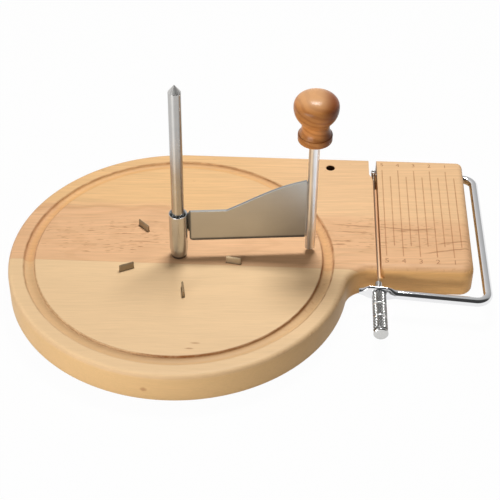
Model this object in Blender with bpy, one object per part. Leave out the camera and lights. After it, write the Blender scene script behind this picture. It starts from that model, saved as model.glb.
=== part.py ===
"""Cheese curler and wire slicer on one wooden board.

A round board carries a fixed spindle. A cheese wheel is pushed onto it and stands on spikes, and a
scraper blade turns round it. Beside the disc is a block with a wire bow, hinged near the back edge,
that swings down into a slot. A threaded handle pulls the wire tight.

The design frame has the spindle's axis as its Z axis and the board's top face at Z = 0. X points
from the disc to the block and Y to the back edge. Every piece hangs from the empty part_frame, which
puts the centre of the outer box, at the underside of the feet, at the world's origin.
"""

import math

import bmesh
import bpy
from mathutils import Vector

MM = 0.001

# Gaps between pieces that touch on the real object
SEAT_GAP = 0.3 * MM
RUNNING_GAP = 0.3 * MM
CUTTER_MARGIN = 1.0 * MM

# Board
DISC_RADIUS = 100.0 * MM
BOARD_THICKNESS = 20.0 * MM
WIRE_TO_BLOCK_SIDE = 56.2 * MM
BLOCK_DEPTH = 106.5 * MM
NECK_FILLET = 15.0 * MM
FRONT_CORNER_RADIUS = 8.0 * MM
BACK_CORNER_RADIUS = 4.0 * MM
EDGE_ROUND = 3.0 * MM
GROOVE_TO_RIM = 9.0 * MM
GROOVE_WIDTH = 6.6 * MM
GROOVE_DEPTH = 2.2 * MM
HANG_HOLE_DIAMETER = 5.5 * MM
HANG_HOLE_TO_WIRE = 27.8 * MM
HANG_HOLE_TO_BACK = 10.4 * MM

# Spindle and what holds it under the board
SPINDLE_DIAMETER = 7.2 * MM
SPINDLE_HEIGHT = 119.2 * MM
SPINDLE_TIP_LENGTH = 6.2 * MM
SPINDLE_TIP_FACETS = 12
STUD_DIAMETER = 6.0 * MM
WASHER_DIAMETER = 14.0 * MM
WASHER_THICKNESS = 1.2 * MM
NUT_ACROSS_FLATS = 10.0 * MM
NUT_HEIGHT = 5.0 * MM
STUD_PAST_NUT = 0.6 * MM
RECESS_SIDE_ROOM = 2.0 * MM
RECESS_END_ROOM = 0.8 * MM

# Spikes
SPIKE_COUNT = 5
SPIKE_CIRCLE_RADIUS = 32.8 * MM
SPIKE_FIRST_ANGLE = 62.2
SPIKE_WIDTH = 8.8 * MM
SPIKE_THICKNESS = 1.2 * MM
SPIKE_HEIGHT = 4.5 * MM
SPIKE_ROOT = 7.0 * MM
SPIKE_POINT = 0.9 * MM

# Feet
FOOT_DIAMETER = 14.0 * MM
FOOT_THICKNESS = 2.0 * MM
FOOT_TO_RIM = 16.0 * MM
DISC_FOOT_ANGLES = (135.0, 225.0, 300.0)
BLOCK_FOOT_INSET = 14.0 * MM

# Scraper
SCRAPER_ANGLE = 5.5
SLEEVE_WALL = 1.4 * MM
SLEEVE_LENGTH = 31.2 * MM
SLEEVE_TAPER_LENGTH = 8.0 * MM
SLEEVE_FOOT_WALL = 0.6 * MM
SLEEVE_TO_BLADE = 1.1 * MM
BLADE_THICKNESS = 1.6 * MM
BLADE_LIFT = 11.5 * MM
BLADE_INNER_HEIGHT = 22.0 * MM
BLADE_OUTER_HEIGHT = 41.0 * MM
BLADE_SHOULDER_LENGTH = 21.6 * MM
BLADE_TOP_BULGE = 1.7 * MM
BLADE_CORNER_RADIUS = 2.2 * MM
BLADE_TOP_CORNER_RADIUS = 0.8 * MM
BRACKET_THICKNESS = 1.2 * MM
BRACKET_LENGTH = 11.0 * MM
BRACKET_HEIGHT = 15.0 * MM
BRACKET_BELOW_BLADE_TOP = 1.5 * MM
ROD_ORBIT = 77.0 * MM
ROD_DIAMETER = 6.0 * MM
ROD_FOOT_LIFT = 3.5 * MM
ROD_END_ROUND = 0.8 * MM

# Knob and the bush that it turns on
KNOB_LIFT = 80.6 * MM
KNOB_HEIGHT = 30.2 * MM
KNOB_FLANGE_RADIUS = 9.7 * MM
KNOB_FLANGE_HEIGHT = 4.8 * MM
KNOB_FLANGE_ROUND = 1.2 * MM
KNOB_NECK_RADIUS = 7.8 * MM
KNOB_BALL_RADIUS = 12.65 * MM
KNOB_BALL_UPPER_HALF = 8.0 * MM
KNOB_BALL_LOWER_HALF = 12.5 * MM
BUSH_WALL = 1.4 * MM
BUSH_LENGTH = 12.0 * MM
BUSH_INSET = 0.8 * MM
ROD_HEAD_OVERLAP = 0.9 * MM
ROD_HEAD_HEIGHT = 2.4 * MM
KNOB_BORE_END_ROOM = 1.2 * MM

# Wire bow
DISC_TO_WIRE = 17.3 * MM
WIRE_DEPTH = 7.0 * MM
BOW_ROD_DIAMETER = 5.5 * MM
BOW_HINGE_TO_BACK = 9.5 * MM
BOW_SIDE_CLEARANCE = 4.15 * MM
BOW_BEND_RADIUS = 7.0 * MM
BOW_LEG_SPLAY = 5.8 * MM
EYE_TO_BLOCK = 13.3 * MM
EYE_PLATE_THICKNESS = 3.0 * MM
EYE_PLATE_HEIGHT = 9.2 * MM
EYE_FLAT_HALF_LENGTH = 5.0 * MM
EYE_BLEND_LENGTH = 5.5 * MM
EYE_STUB_LENGTH = 11.7 * MM
EYE_STUB_RADIUS = 1.9 * MM

# Wire and its ends
WIRE_DIAMETER = 0.6 * MM
WIRE_TO_ROD_END = 1.4 * MM
EYELET_RADIUS = 1.45 * MM
EYELET_HOLE_RADIUS = 0.55 * MM
EYELET_HEIGHT = 2.2 * MM
FERRULE_DIAMETER = 1.6 * MM
FERRULE_PAST_ROD = 3.0 * MM
SCREW_DIAMETER = 4.0 * MM
SCREW_BEHIND_EYE = 8.8 * MM
SCREW_IN_HANDLE = 22.0 * MM
SCREW_SOCKET_DEPTH = 5.0 * MM
HANDLE_DIAMETER = 8.5 * MM
HANDLE_LENGTH = 33.0 * MM
HANDLE_RING_COUNT = 3
HANDLE_RING_WIDTH = 1.0 * MM
HANDLE_RING_DEPTH = 0.35 * MM
HANDLE_CHAMFER = 0.5 * MM
HANDLE_CAP_LENGTH = 1.6 * MM
HANDLE_BORE_END_ROOM = 3.0 * MM

# Wire slot and rear notch in the block
SLOT_LEFT_ROOM = 1.1 * MM
SLOT_RIGHT_ROOM = 1.6 * MM
SLOT_FLARE_WIDTH = 2.2 * MM
SLOT_FLARE_DEPTH = 2.6 * MM
NOTCH_LEFT_ROOM = 3.4 * MM
NOTCH_LENGTH = 20.0 * MM
NOTCH_FUNNEL = 3.0 * MM
NOTCH_FLOOR_ROOM = 0.8 * MM
SLACK_TRAVEL = 2.2 * MM

# Facets on round shapes
DISC_SEGMENTS = 24
EDGE_SEGMENTS = 3
CORNER_SEGMENTS = 6
ROUND_SEGMENTS = 24
KNOB_SEGMENTS = 28
BOW_SIDES = 14
SMALL_SIDES = 12

# Places that follow from the sizes above
WIRE_X = DISC_RADIUS + DISC_TO_WIRE
BLOCK_REACH = WIRE_X + WIRE_TO_BLOCK_SIDE
NECK_FRONT_Y = DISC_RADIUS - BLOCK_DEPTH
GROOVE_OUTER_RADIUS = DISC_RADIUS - GROOVE_TO_RIM
FOOT_CIRCLE_RADIUS = DISC_RADIUS - FOOT_TO_RIM
HANG_HOLE_X = WIRE_X - HANG_HOLE_TO_WIRE
HINGE_Y = DISC_RADIUS - BOW_HINGE_TO_BACK
WIRE_Z = -WIRE_DEPTH
BOW_RADIUS = BOW_ROD_DIAMETER / 2
BOW_SIDE_X = BLOCK_REACH + BOW_SIDE_CLEARANCE + BOW_RADIUS
BOW_END_X = WIRE_X - WIRE_TO_ROD_END
EYE_Y = NECK_FRONT_Y - EYE_TO_BLOCK
SLEEVE_BORE_RADIUS = SPINDLE_DIAMETER / 2 + RUNNING_GAP
SLEEVE_RADIUS = SLEEVE_BORE_RADIUS + SLEEVE_WALL
SLOT_RIGHT_X = WIRE_X + SLOT_RIGHT_ROOM
FERRULE_RADIUS = FERRULE_DIAMETER / 2
EYELET_Y = HINGE_Y + BOW_RADIUS + SEAT_GAP + EYELET_RADIUS
SCREW_RADIUS = SCREW_DIAMETER / 2
SCREW_REAR_Y = EYE_Y + SCREW_BEHIND_EYE
HANDLE_REAR_Y = EYE_Y - EYE_PLATE_THICKNESS / 2 - SEAT_GAP
KNOB_BORE_RADIUS = ROD_DIAMETER / 2 + RUNNING_GAP + BUSH_WALL + SEAT_GAP
BUSH_TOP = BUSH_INSET + BUSH_LENGTH
ROD_HEAD_TOP = BUSH_TOP + RUNNING_GAP + ROD_HEAD_HEIGHT
WASHER_TOP = -BOARD_THICKNESS + RECESS_END_ROOM + STUD_PAST_NUT + NUT_HEIGHT + SEAT_GAP + WASHER_THICKNESS
RECESS_TOP = WASHER_TOP + SEAT_GAP
BOX_CENTRE_X = (BOW_SIDE_X + BOW_RADIUS - DISC_RADIUS) / 2
BOARD_TOP_LIFT = BOARD_THICKNESS + SEAT_GAP + FOOT_THICKNESS


def clear_scene():
    """Remove what the scene holds, so that a second run starts clean."""
    for item in list(bpy.data.objects):
        bpy.data.objects.remove(item, do_unlink=True)


def make_material(name, colour, metallic, roughness):
    """A Principled material of one colour."""
    material = bpy.data.materials.new(name)
    material.use_nodes = True
    shader = material.node_tree.nodes["Principled BSDF"]
    shader.inputs["Base Color"].default_value = (*colour, 1.0)
    shader.inputs["Metallic"].default_value = metallic
    shader.inputs["Roughness"].default_value = roughness
    return material


def make_empty(name, parent=None, place=(0, 0, 0), turn=(0, 0, 0)):
    """An empty that carries a group of pieces."""
    empty = bpy.data.objects.new(name, None)
    empty.location = place
    empty.rotation_euler = turn
    empty.parent = parent
    bpy.context.scene.collection.objects.link(empty)
    return empty


def make_object(name, shape, parent, place=(0, 0, 0), turn=(0, 0, 0), material=None):
    """Turn a bmesh into an object. Its faces are made to point outwards."""
    bmesh.ops.recalc_face_normals(shape, faces=shape.faces)
    mesh = bpy.data.meshes.new(name)
    shape.to_mesh(mesh)
    shape.free()
    mesh.shade_smooth()
    mesh.set_sharp_from_angle(angle=math.radians(35))
    thing = bpy.data.objects.new(name, mesh)
    thing.parent = parent
    thing.location = place
    thing.rotation_euler = turn
    if material:
        mesh.materials.append(material)
    bpy.context.scene.collection.objects.link(thing)
    return thing


def cut(target, tool):
    """Cut a tool out of a piece, and keep the tool as a hidden guide."""
    step = target.modifiers.new(tool.name, "BOOLEAN")
    step.object = tool
    step.operation = "DIFFERENCE"
    step.solver = "EXACT"
    tool.hide_render = True
    tool.display_type = "WIRE"


def arc(centre, radius, start, end, segments):
    """Points of a round stretch from one angle to another, in degrees."""
    points = []
    for step in range(segments + 1):
        angle = math.radians(start + (end - start) * step / segments)
        points.append((centre[0] + radius * math.cos(angle), centre[1] + radius * math.sin(angle)))
    return points


def stack(rings, close_ends=True):
    """A closed body through rings that all have the same number of points."""
    shape = bmesh.new()
    loops = [[shape.verts.new(point) for point in ring] for ring in rings]
    count = len(loops[0])
    for low, high in zip(loops, loops[1:]):
        for index in range(count):
            after = (index + 1) % count
            shape.faces.new((low[index], low[after], high[after], high[index]))
    if close_ends:
        shape.faces.new(loops[0])
        shape.faces.new(loops[-1])
    return shape


def turned(profile, segments=ROUND_SEGMENTS):
    """Spin a profile of radius and height pairs once round the Z axis.

    The profile either starts and ends on the axis or is a closed ring clear of it.
    """
    shape = bmesh.new()
    verts = [shape.verts.new((radius, 0, height)) for radius, height in profile]
    edges = [shape.edges.new(pair) for pair in zip(verts, verts[1:])]
    if profile[0][0] > 0:
        edges.append(shape.edges.new((verts[-1], verts[0])))
    bmesh.ops.spin(
        shape,
        geom=verts + edges,
        cent=(0, 0, 0),
        axis=(0, 0, 1),
        angle=math.tau,
        steps=segments,
        use_merge=True,
    )
    bmesh.ops.remove_doubles(shape, verts=shape.verts, dist=0.001 * MM)
    return shape


def prism(outline, low, high):
    """Extrude a plan outline from one height to another."""
    return stack([[(x, y, height) for x, y in outline] for height in (low, high)])


def block(low, high):
    """A box between two corners."""
    outline = [(low[0], low[1]), (high[0], low[1]), (high[0], high[1]), (low[0], high[1])]
    return prism(outline, low[2], high[2])


def rod(radius, low, high, segments=ROUND_SEGMENTS):
    """A plain cylinder along Z."""
    return turned([(0, low), (radius, low), (radius, high), (0, high)], segments)


def tube(outer, inner, low, high, segments=ROUND_SEGMENTS):
    """A plain tube along Z."""
    return turned([(inner, low), (outer, low), (outer, high), (inner, high)], segments)


def board_outline(inset):
    """The board's plan outline, drawn in from the true edge by the inset."""
    radius = DISC_RADIUS - inset
    fillet_y = NECK_FRONT_Y - NECK_FILLET
    fillet_x = math.sqrt((DISC_RADIUS + NECK_FILLET) ** 2 - fillet_y**2)
    meeting = math.degrees(math.atan2(fillet_y, fillet_x))
    right = BLOCK_REACH - inset
    front = NECK_FRONT_Y + inset
    back = DISC_RADIUS - inset
    front_round = max(FRONT_CORNER_RADIUS - inset, 0.2 * MM)
    back_round = max(BACK_CORNER_RADIUS - inset, 0.2 * MM)
    points = arc((0, 0), radius, 90, 180, DISC_SEGMENTS)
    points += arc((0, 0), radius, 180, 270, DISC_SEGMENTS)[1:]
    points += arc((0, 0), radius, 270, 360 + meeting, DISC_SEGMENTS - 3)[1:]
    points += arc((fillet_x, fillet_y), NECK_FILLET + inset, 180 + meeting, 90, CORNER_SEGMENTS)[1:]
    points += arc((right - front_round, front + front_round), front_round, 270, 360, CORNER_SEGMENTS)
    points += arc((right - back_round, back - back_round), back_round, 0, 90, CORNER_SEGMENTS)
    return points


def make_board(frame, material):
    """The board: rounded edges, then the groove, slot, notch and holes are cut."""
    rings = []
    for step in range(EDGE_SEGMENTS + 1):
        angle = math.radians(90 * step / EDGE_SEGMENTS)
        inset = EDGE_ROUND * (1 - math.sin(angle))
        height = -BOARD_THICKNESS + EDGE_ROUND * (1 - math.cos(angle))
        rings.append([(x, y, height) for x, y in board_outline(inset)])
    for ring in reversed(rings[:]):
        rings.append([(x, y, -BOARD_THICKNESS - height) for x, y, height in ring])
    board = make_object("cutting_board", stack(rings), frame, material=material)
    tools = [groove_cutter(frame), slot_cutter(frame), notch_cutter(frame)]
    tools += board_hole_cutters(frame)
    for place, angle in spike_places():
        tools.append(spike_cutter(frame, place, angle))
    for tool in tools:
        cut(board, tool)
    return board


def groove_cutter(frame):
    """A turned ring with a round underside, as wide as the groove at the board's face."""
    half = GROOVE_WIDTH / 2
    middle = GROOVE_OUTER_RADIUS - half
    sweep = (half**2 + GROOVE_DEPTH**2) / (2 * GROOVE_DEPTH)
    spread = math.degrees(math.asin(half / sweep))
    if GROOVE_DEPTH > half:
        spread = 180 - spread
    curve = arc((middle, sweep - GROOVE_DEPTH), sweep, 270 - spread, 270 + spread, 6)
    profile = [(middle - half, CUTTER_MARGIN), *curve, (middle + half, CUTTER_MARGIN)]
    return make_object("groove_cutter", turned(profile, 4 * DISC_SEGMENTS), frame)


def slot_cutter(frame):
    """The wire's slot, which opens a little to the right where the wire leaves the block."""
    left = WIRE_X - SLOT_LEFT_ROOM
    front = NECK_FRONT_Y
    outline = [
        (left, front - CUTTER_MARGIN),
        (SLOT_RIGHT_X + SLOT_FLARE_WIDTH, front - CUTTER_MARGIN),
        (SLOT_RIGHT_X + SLOT_FLARE_WIDTH, front),
        (SLOT_RIGHT_X, front + SLOT_FLARE_DEPTH),
        (SLOT_RIGHT_X, DISC_RADIUS + CUTTER_MARGIN),
        (left, DISC_RADIUS + CUTTER_MARGIN),
    ]
    floor = WIRE_Z - WIRE_DIAMETER / 2 - SEAT_GAP
    return make_object("slot_cutter", prism(outline, floor, CUTTER_MARGIN), frame)


def notch_cutter(frame):
    """The deeper notch at the slot's rear end.

    The eyelet swings under the bow's rear end there, also when the slackened wire has slid back.
    """
    left = WIRE_X - NOTCH_LEFT_ROOM
    right = SLOT_RIGHT_X
    front = DISC_RADIUS - NOTCH_LENGTH
    outline = [
        (left, DISC_RADIUS + CUTTER_MARGIN),
        (left, front + NOTCH_FUNNEL),
        (WIRE_X - SLOT_LEFT_ROOM, front),
        (right, front),
        (right, DISC_RADIUS + CUTTER_MARGIN),
    ]
    swing = EYELET_Y + EYELET_RADIUS - HINGE_Y
    floor = WIRE_Z - swing - SLACK_TRAVEL - NOTCH_FLOOR_ROOM
    return make_object("notch_cutter", prism(outline, floor, 2 * CUTTER_MARGIN), frame)


def board_hole_cutters(frame):
    """The bow's bore, the hanging hole, and the spindle's hole with its recess."""
    length = BLOCK_REACH + CUTTER_MARGIN - WIRE_X
    quarter = math.radians(90)
    bore = make_object(
        "bow_bore_cutter",
        rod(BOW_RADIUS + RUNNING_GAP, 0, length),
        frame,
        place=(WIRE_X, HINGE_Y, WIRE_Z),
        turn=(0, quarter, 0),
    )
    low = -BOARD_THICKNESS - CUTTER_MARGIN
    hanging = make_object(
        "hanging_hole_cutter",
        rod(HANG_HOLE_DIAMETER / 2, low, CUTTER_MARGIN),
        frame,
        place=(HANG_HOLE_X, DISC_RADIUS - HANG_HOLE_TO_BACK, 0),
    )
    stud = make_object("stud_hole_cutter", rod(STUD_DIAMETER / 2 + SEAT_GAP, low, CUTTER_MARGIN), frame)
    recess_radius = WASHER_DIAMETER / 2 + RECESS_SIDE_ROOM
    recess = make_object("nut_recess_cutter", rod(recess_radius, low, RECESS_TOP), frame)
    return [bore, hanging, stud, recess]


def spike_places():
    """Centre and direction of each spike, evenly spread round the spindle."""
    places = []
    for index in range(SPIKE_COUNT):
        angle = math.radians(SPIKE_FIRST_ANGLE + 360 * index / SPIKE_COUNT)
        centre = (SPIKE_CIRCLE_RADIUS * math.cos(angle), SPIKE_CIRCLE_RADIUS * math.sin(angle), 0)
        places.append((centre, angle))
    return places


def spike_cutter(frame, place, angle):
    """The narrow pocket that holds a spike."""
    half_width = SPIKE_WIDTH / 2 + SEAT_GAP
    half_thickness = SPIKE_THICKNESS / 2 + SEAT_GAP
    shape = block(
        (-half_width, -half_thickness, -SPIKE_ROOT - SEAT_GAP),
        (half_width, half_thickness, CUTTER_MARGIN),
    )
    return make_object("spike_pocket_cutter", shape, frame, place=place, turn=(0, 0, angle))


def make_spikes(frame, material):
    """Upright plates with a short two-sided edge on top."""
    half = SPIKE_THICKNESS / 2
    crown = half / 4
    outline = [
        (-half, -SPIKE_ROOT),
        (half, -SPIKE_ROOT),
        (half, SPIKE_HEIGHT - SPIKE_POINT),
        (crown, SPIKE_HEIGHT),
        (-crown, SPIKE_HEIGHT),
        (-half, SPIKE_HEIGHT - SPIKE_POINT),
    ]
    for index, (place, angle) in enumerate(spike_places(), start=1):
        rings = [[(side, y, z) for y, z in outline] for side in (-SPIKE_WIDTH / 2, SPIKE_WIDTH / 2)]
        make_object(f"cheese_spike_{index}", stack(rings), frame, place, (0, 0, angle), material)


def make_spindle(frame, material):
    """The post: a threaded stud below the board, a plain shank, and a faceted point."""
    radius = SPINDLE_DIAMETER / 2
    shank_top = SPINDLE_HEIGHT - SPINDLE_TIP_LENGTH
    low = -BOARD_THICKNESS + RECESS_END_ROOM
    profile = [
        (0, low),
        (STUD_DIAMETER / 2 - 0.4 * MM, low),
        (STUD_DIAMETER / 2, low + 0.4 * MM),
        (STUD_DIAMETER / 2, SEAT_GAP),
        (radius, SEAT_GAP),
        (radius, shank_top),
        (radius * 0.86, shank_top + SPINDLE_TIP_LENGTH * 0.3),
        (0, SPINDLE_HEIGHT),
    ]
    return make_object("spindle", turned(profile, 2 * SPINDLE_TIP_FACETS), frame, material=material)


def make_spindle_fasteners(frame, material):
    """The washer and nut that pull the spindle's shoulder down onto the board."""
    bore = STUD_DIAMETER / 2 + SEAT_GAP
    washer = tube(WASHER_DIAMETER / 2, bore, WASHER_TOP - WASHER_THICKNESS, WASHER_TOP)
    make_object("spindle_washer", washer, frame, material=material)
    nut_top = WASHER_TOP - WASHER_THICKNESS - SEAT_GAP
    corner = NUT_ACROSS_FLATS / 2 / math.cos(math.radians(30))
    nut = make_object(
        "spindle_nut",
        turned([(0, nut_top - NUT_HEIGHT), (corner, nut_top - NUT_HEIGHT), (corner, nut_top), (0, nut_top)], 6),
        frame,
        material=material,
    )
    hole = rod(bore, nut_top - NUT_HEIGHT - CUTTER_MARGIN, nut_top + CUTTER_MARGIN)
    cut(nut, make_object("nut_bore_cutter", hole, frame))


def foot_places():
    """Three feet under the disc and two under the block's right side."""
    places = []
    for degrees in DISC_FOOT_ANGLES:
        angle = math.radians(degrees)
        places.append((FOOT_CIRCLE_RADIUS * math.cos(angle), FOOT_CIRCLE_RADIUS * math.sin(angle)))
    block_x = BLOCK_REACH - BLOCK_FOOT_INSET
    places.append((block_x, NECK_FRONT_Y + BLOCK_FOOT_INSET))
    places.append((block_x, DISC_RADIUS - BLOCK_FOOT_INSET))
    return places


def make_feet(frame, material):
    """Thin anti-slip pads with a small rounding at the rim."""
    radius = FOOT_DIAMETER / 2
    top = -BOARD_THICKNESS - SEAT_GAP
    low = top - FOOT_THICKNESS
    rim = FOOT_THICKNESS / 4
    profile = [(0, low), (radius - rim, low), (radius, low + rim), (radius, top), (0, top)]
    for index, (x, y) in enumerate(foot_places(), start=1):
        make_object(f"foot_{index}", turned(profile), frame, place=(x, y, 0), material=material)


def make_sleeve(scraper, material):
    """The tube that turns and slides on the spindle, drawn in at its lower end."""
    bore = SLEEVE_BORE_RADIUS
    low = SEAT_GAP
    profile = [
        (bore, low),
        (bore + SLEEVE_FOOT_WALL, low),
        (SLEEVE_RADIUS, low + SLEEVE_TAPER_LENGTH),
        (SLEEVE_RADIUS, low + SLEEVE_LENGTH - 0.3 * MM),
        (SLEEVE_RADIUS - 0.3 * MM, low + SLEEVE_LENGTH),
        (bore, low + SLEEVE_LENGTH),
    ]
    make_object("scraper_sleeve", turned(profile), scraper, material=material)


def blade_outline():
    """The blade's side view, as distance from the spindle and height above the board."""
    inner = SLEEVE_RADIUS + SLEEVE_TO_BLADE
    outer = ROD_ORBIT - ROD_DIAMETER / 2 - SEAT_GAP
    low = BLADE_LIFT
    inner_top = low + BLADE_INNER_HEIGHT
    outer_top = low + BLADE_OUTER_HEIGHT
    shoulder = inner + BLADE_SHOULDER_LENGTH
    lower = BLADE_CORNER_RADIUS
    upper = BLADE_TOP_CORNER_RADIUS
    points = arc((inner + lower, low + lower), lower, 180, 270, 4)
    points += [(outer, low), (outer, outer_top)]
    steps = 8
    for step in range(1, steps + 1):
        along = 1 - step / steps
        rise = inner_top + (outer_top - inner_top) * along + 4 * BLADE_TOP_BULGE * along * (1 - along)
        points.append((shoulder + (outer - shoulder) * along, rise))
    points += arc((inner + upper, inner_top - upper), upper, 90, 180, 3)
    return points


def make_blade(scraper, material):
    """The blade, a flat plate welded by its outer edge to the rod."""
    half = BLADE_THICKNESS / 2
    rings = [[(x, y, z) for x, z in blade_outline()] for y in (-half, half)]
    make_object("scraper_blade", stack(rings), scraper, material=material)


def make_bracket(scraper, material):
    """The strip behind the blade that is welded to the blade and to the sleeve."""
    near = BLADE_THICKNESS / 2 + SEAT_GAP
    start = SLEEVE_RADIUS + SEAT_GAP
    low = BLADE_LIFT + BLADE_INNER_HEIGHT - BRACKET_BELOW_BLADE_TOP - BRACKET_HEIGHT
    shape = block(
        (start, near, low),
        (start + BRACKET_LENGTH, near + BRACKET_THICKNESS, low + BRACKET_HEIGHT),
    )
    make_object("blade_bracket", shape, scraper, material=material)


def make_handle_rod(scraper, material):
    """The rod, rounded below, with a head above the bush that keeps the knob on."""
    radius = ROD_DIAMETER / 2
    head = radius + ROD_HEAD_OVERLAP
    head_low = KNOB_LIFT + BUSH_TOP + RUNNING_GAP
    head_top = head_low + ROD_HEAD_HEIGHT
    profile = [
        (0, ROD_FOOT_LIFT),
        (radius - ROD_END_ROUND, ROD_FOOT_LIFT),
        (radius - 0.3 * ROD_END_ROUND, ROD_FOOT_LIFT + 0.3 * ROD_END_ROUND),
        (radius, ROD_FOOT_LIFT + ROD_END_ROUND),
        (radius, head_low),
        (head, head_low),
        (head, head_top - 0.4 * MM),
        (head - 0.4 * MM, head_top),
        (0, head_top),
    ]
    make_object("handle_rod", turned(profile), scraper, place=(ROD_ORBIT, 0, 0), material=material)


def knob_profile():
    """The knob's outline: a flange, a hollow neck and a ball that is flattened above."""
    lip = KNOB_FLANGE_ROUND
    flange = KNOB_FLANGE_RADIUS
    ball_middle = KNOB_HEIGHT - KNOB_BALL_UPPER_HALF
    bore = KNOB_BORE_RADIUS
    profile = [(0, ROD_HEAD_TOP + KNOB_BORE_END_ROOM), (bore, ROD_HEAD_TOP + KNOB_BORE_END_ROOM), (bore, 0)]
    profile += arc((flange - lip, lip), lip, 270, 360, 3)
    profile += arc((flange - lip / 2, KNOB_FLANGE_HEIGHT - lip), lip / 2, 0, 90, 2)
    steps = 5
    start = profile[-1]
    join = math.radians(-48)
    join_radius = KNOB_BALL_RADIUS * math.cos(join)
    join_height = ball_middle + KNOB_BALL_LOWER_HALF * math.sin(join)
    for step in range(1, steps):
        along = step / steps
        radius = start[0] + (join_radius - start[0]) * along
        height = start[1] + (join_height - start[1]) * along
        hollow = math.sin(math.pi * along)
        middle_radius = (start[0] + join_radius) / 2
        profile.append((radius + (KNOB_NECK_RADIUS - middle_radius) * hollow, height))
    rings = 13
    for step in range(rings):
        angle = join + (math.pi / 2 - join) * step / rings
        half_height = KNOB_BALL_UPPER_HALF if angle > 0 else KNOB_BALL_LOWER_HALF
        profile.append((KNOB_BALL_RADIUS * math.cos(angle), ball_middle + half_height * math.sin(angle)))
    profile.append((0, KNOB_HEIGHT))
    return profile


def make_knob(scraper, wood, steel):
    """The wooden knob and the bush pressed into it. Both turn on the rod."""
    place = (ROD_ORBIT, 0, KNOB_LIFT)
    make_object("knob", turned(knob_profile(), KNOB_SEGMENTS), scraper, place=place, material=wood)
    inner = ROD_DIAMETER / 2 + RUNNING_GAP
    bush = tube(inner + BUSH_WALL, inner, BUSH_INSET, BUSH_TOP)
    make_object("knob_bush", bush, scraper, place=place, material=steel)


def bend_points(corner, start, end, radius, segments):
    """Centre points of a round bend at a corner between two straight runs, all in plan."""
    into = (Vector(start) - Vector(corner)).normalized()
    away = (Vector(end) - Vector(corner)).normalized()
    half = into.angle(away) / 2
    centre = Vector(corner) + (into + away).normalized() * radius / math.sin(half)
    first = Vector(corner) + into * radius / math.tan(half)
    sweep = math.pi - 2 * half
    turn = -sweep if into.x * away.y - into.y * away.x > 0 else sweep
    arm = first - centre
    points = []
    for step in range(segments + 1):
        angle = turn * step / segments
        points.append(
            (
                centre.x + arm.x * math.cos(angle) - arm.y * math.sin(angle),
                centre.y + arm.x * math.sin(angle) + arm.y * math.cos(angle),
            )
        )
    return points


def bow_route():
    """The bow's centre line in plan, each point with its half-height and half-thickness."""
    back_end = (BOW_END_X, HINGE_Y)
    back_corner = (BOW_SIDE_X, HINGE_Y)
    front_corner = (BOW_SIDE_X, EYE_Y - BOW_LEG_SPLAY)
    eye = (WIRE_X, EYE_Y)
    route = [back_end]
    route += bend_points(back_corner, back_end, front_corner, BOW_BEND_RADIUS, CORNER_SEGMENTS)
    route += bend_points(front_corner, back_corner, eye, BOW_BEND_RADIUS, CORNER_SEGMENTS)
    sized = [(point, BOW_RADIUS, BOW_RADIUS) for point in route]
    leg = (Vector(front_corner) - Vector(eye)).normalized()
    flat_end = EYE_FLAT_HALF_LENGTH
    blend_end = flat_end + EYE_BLEND_LENGTH
    steps = 4
    for step in range(steps + 1):
        share = (1 - math.cos(math.pi * step / steps)) / 2
        along = blend_end - EYE_BLEND_LENGTH * step / steps
        sized.append((eye_point(eye, leg, along), *eye_section(share)))
    for step in range(1, steps + 1):
        along = flat_end - 2 * flat_end * step / steps
        sized.append((eye_point(eye, leg, along), *eye_section(1.0)))
    for step in range(1, steps + 1):
        along = -flat_end - (EYE_STUB_LENGTH - flat_end) * step / steps
        share = (1 + math.cos(math.pi * step / steps)) / 2
        high, thick = eye_section(share)
        size = EYE_STUB_RADIUS / BOW_RADIUS
        taper = size + (1 - size) * share
        sized.append((eye_point(eye, leg, along), high * taper, thick * taper))
    return sized


def eye_point(eye, leg, along):
    """A point on the front leg's centre line, at a distance from the eye's middle."""
    return (eye[0] + leg.x * along, eye[1] + leg.y * along)


def eye_section(share):
    """Half-height and half-thickness between the round rod, 0, and the flat eye plate, 1."""
    high = BOW_RADIUS + (EYE_PLATE_HEIGHT / 2 - BOW_RADIUS) * share
    thick = BOW_RADIUS + (EYE_PLATE_THICKNESS / 2 - BOW_RADIUS) * share
    return high, thick


def sweep_section(sized):
    """Carry an oval section along a plan route, square to it at each point."""
    rings = []
    for index, (point, high, thick) in enumerate(sized):
        before = Vector(sized[max(index - 1, 0)][0])
        after = Vector(sized[min(index + 1, len(sized) - 1)][0])
        along = (after - before).normalized()
        side = Vector((along.y, -along.x))
        ring = []
        for corner in range(BOW_SIDES):
            angle = math.tau * corner / BOW_SIDES
            out = side * thick * math.cos(angle)
            ring.append((point[0] + out.x, point[1] + out.y, high * math.sin(angle)))
        rings.append(ring)
    return stack(rings)


def make_bow(hinge, steel):
    """The bent rod, with a cross hole at its rear end and the screw's hole in the eye plate."""
    sized = [((x, y - HINGE_Y), high, thick) for (x, y), high, thick in bow_route()]
    bow = make_object("wire_bow", sweep_section(sized), hinge, material=steel)
    quarter = math.radians(90)
    reach = BOW_RADIUS + CUTTER_MARGIN
    rear = rod(FERRULE_RADIUS + RUNNING_GAP, -reach, reach, SMALL_SIDES)
    cut(bow, make_object("cross_hole_cutter", rear, hinge, place=(WIRE_X, 0, 0), turn=(quarter, 0, 0)))
    reach = EYE_PLATE_THICKNESS / 2 + CUTTER_MARGIN
    eye = rod(SCREW_RADIUS + RUNNING_GAP, -reach, reach)
    place = (WIRE_X, EYE_Y - HINGE_Y, 0)
    cut(bow, make_object("eye_hole_cutter", eye, hinge, place=place, turn=(quarter, 0, 0)))


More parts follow.
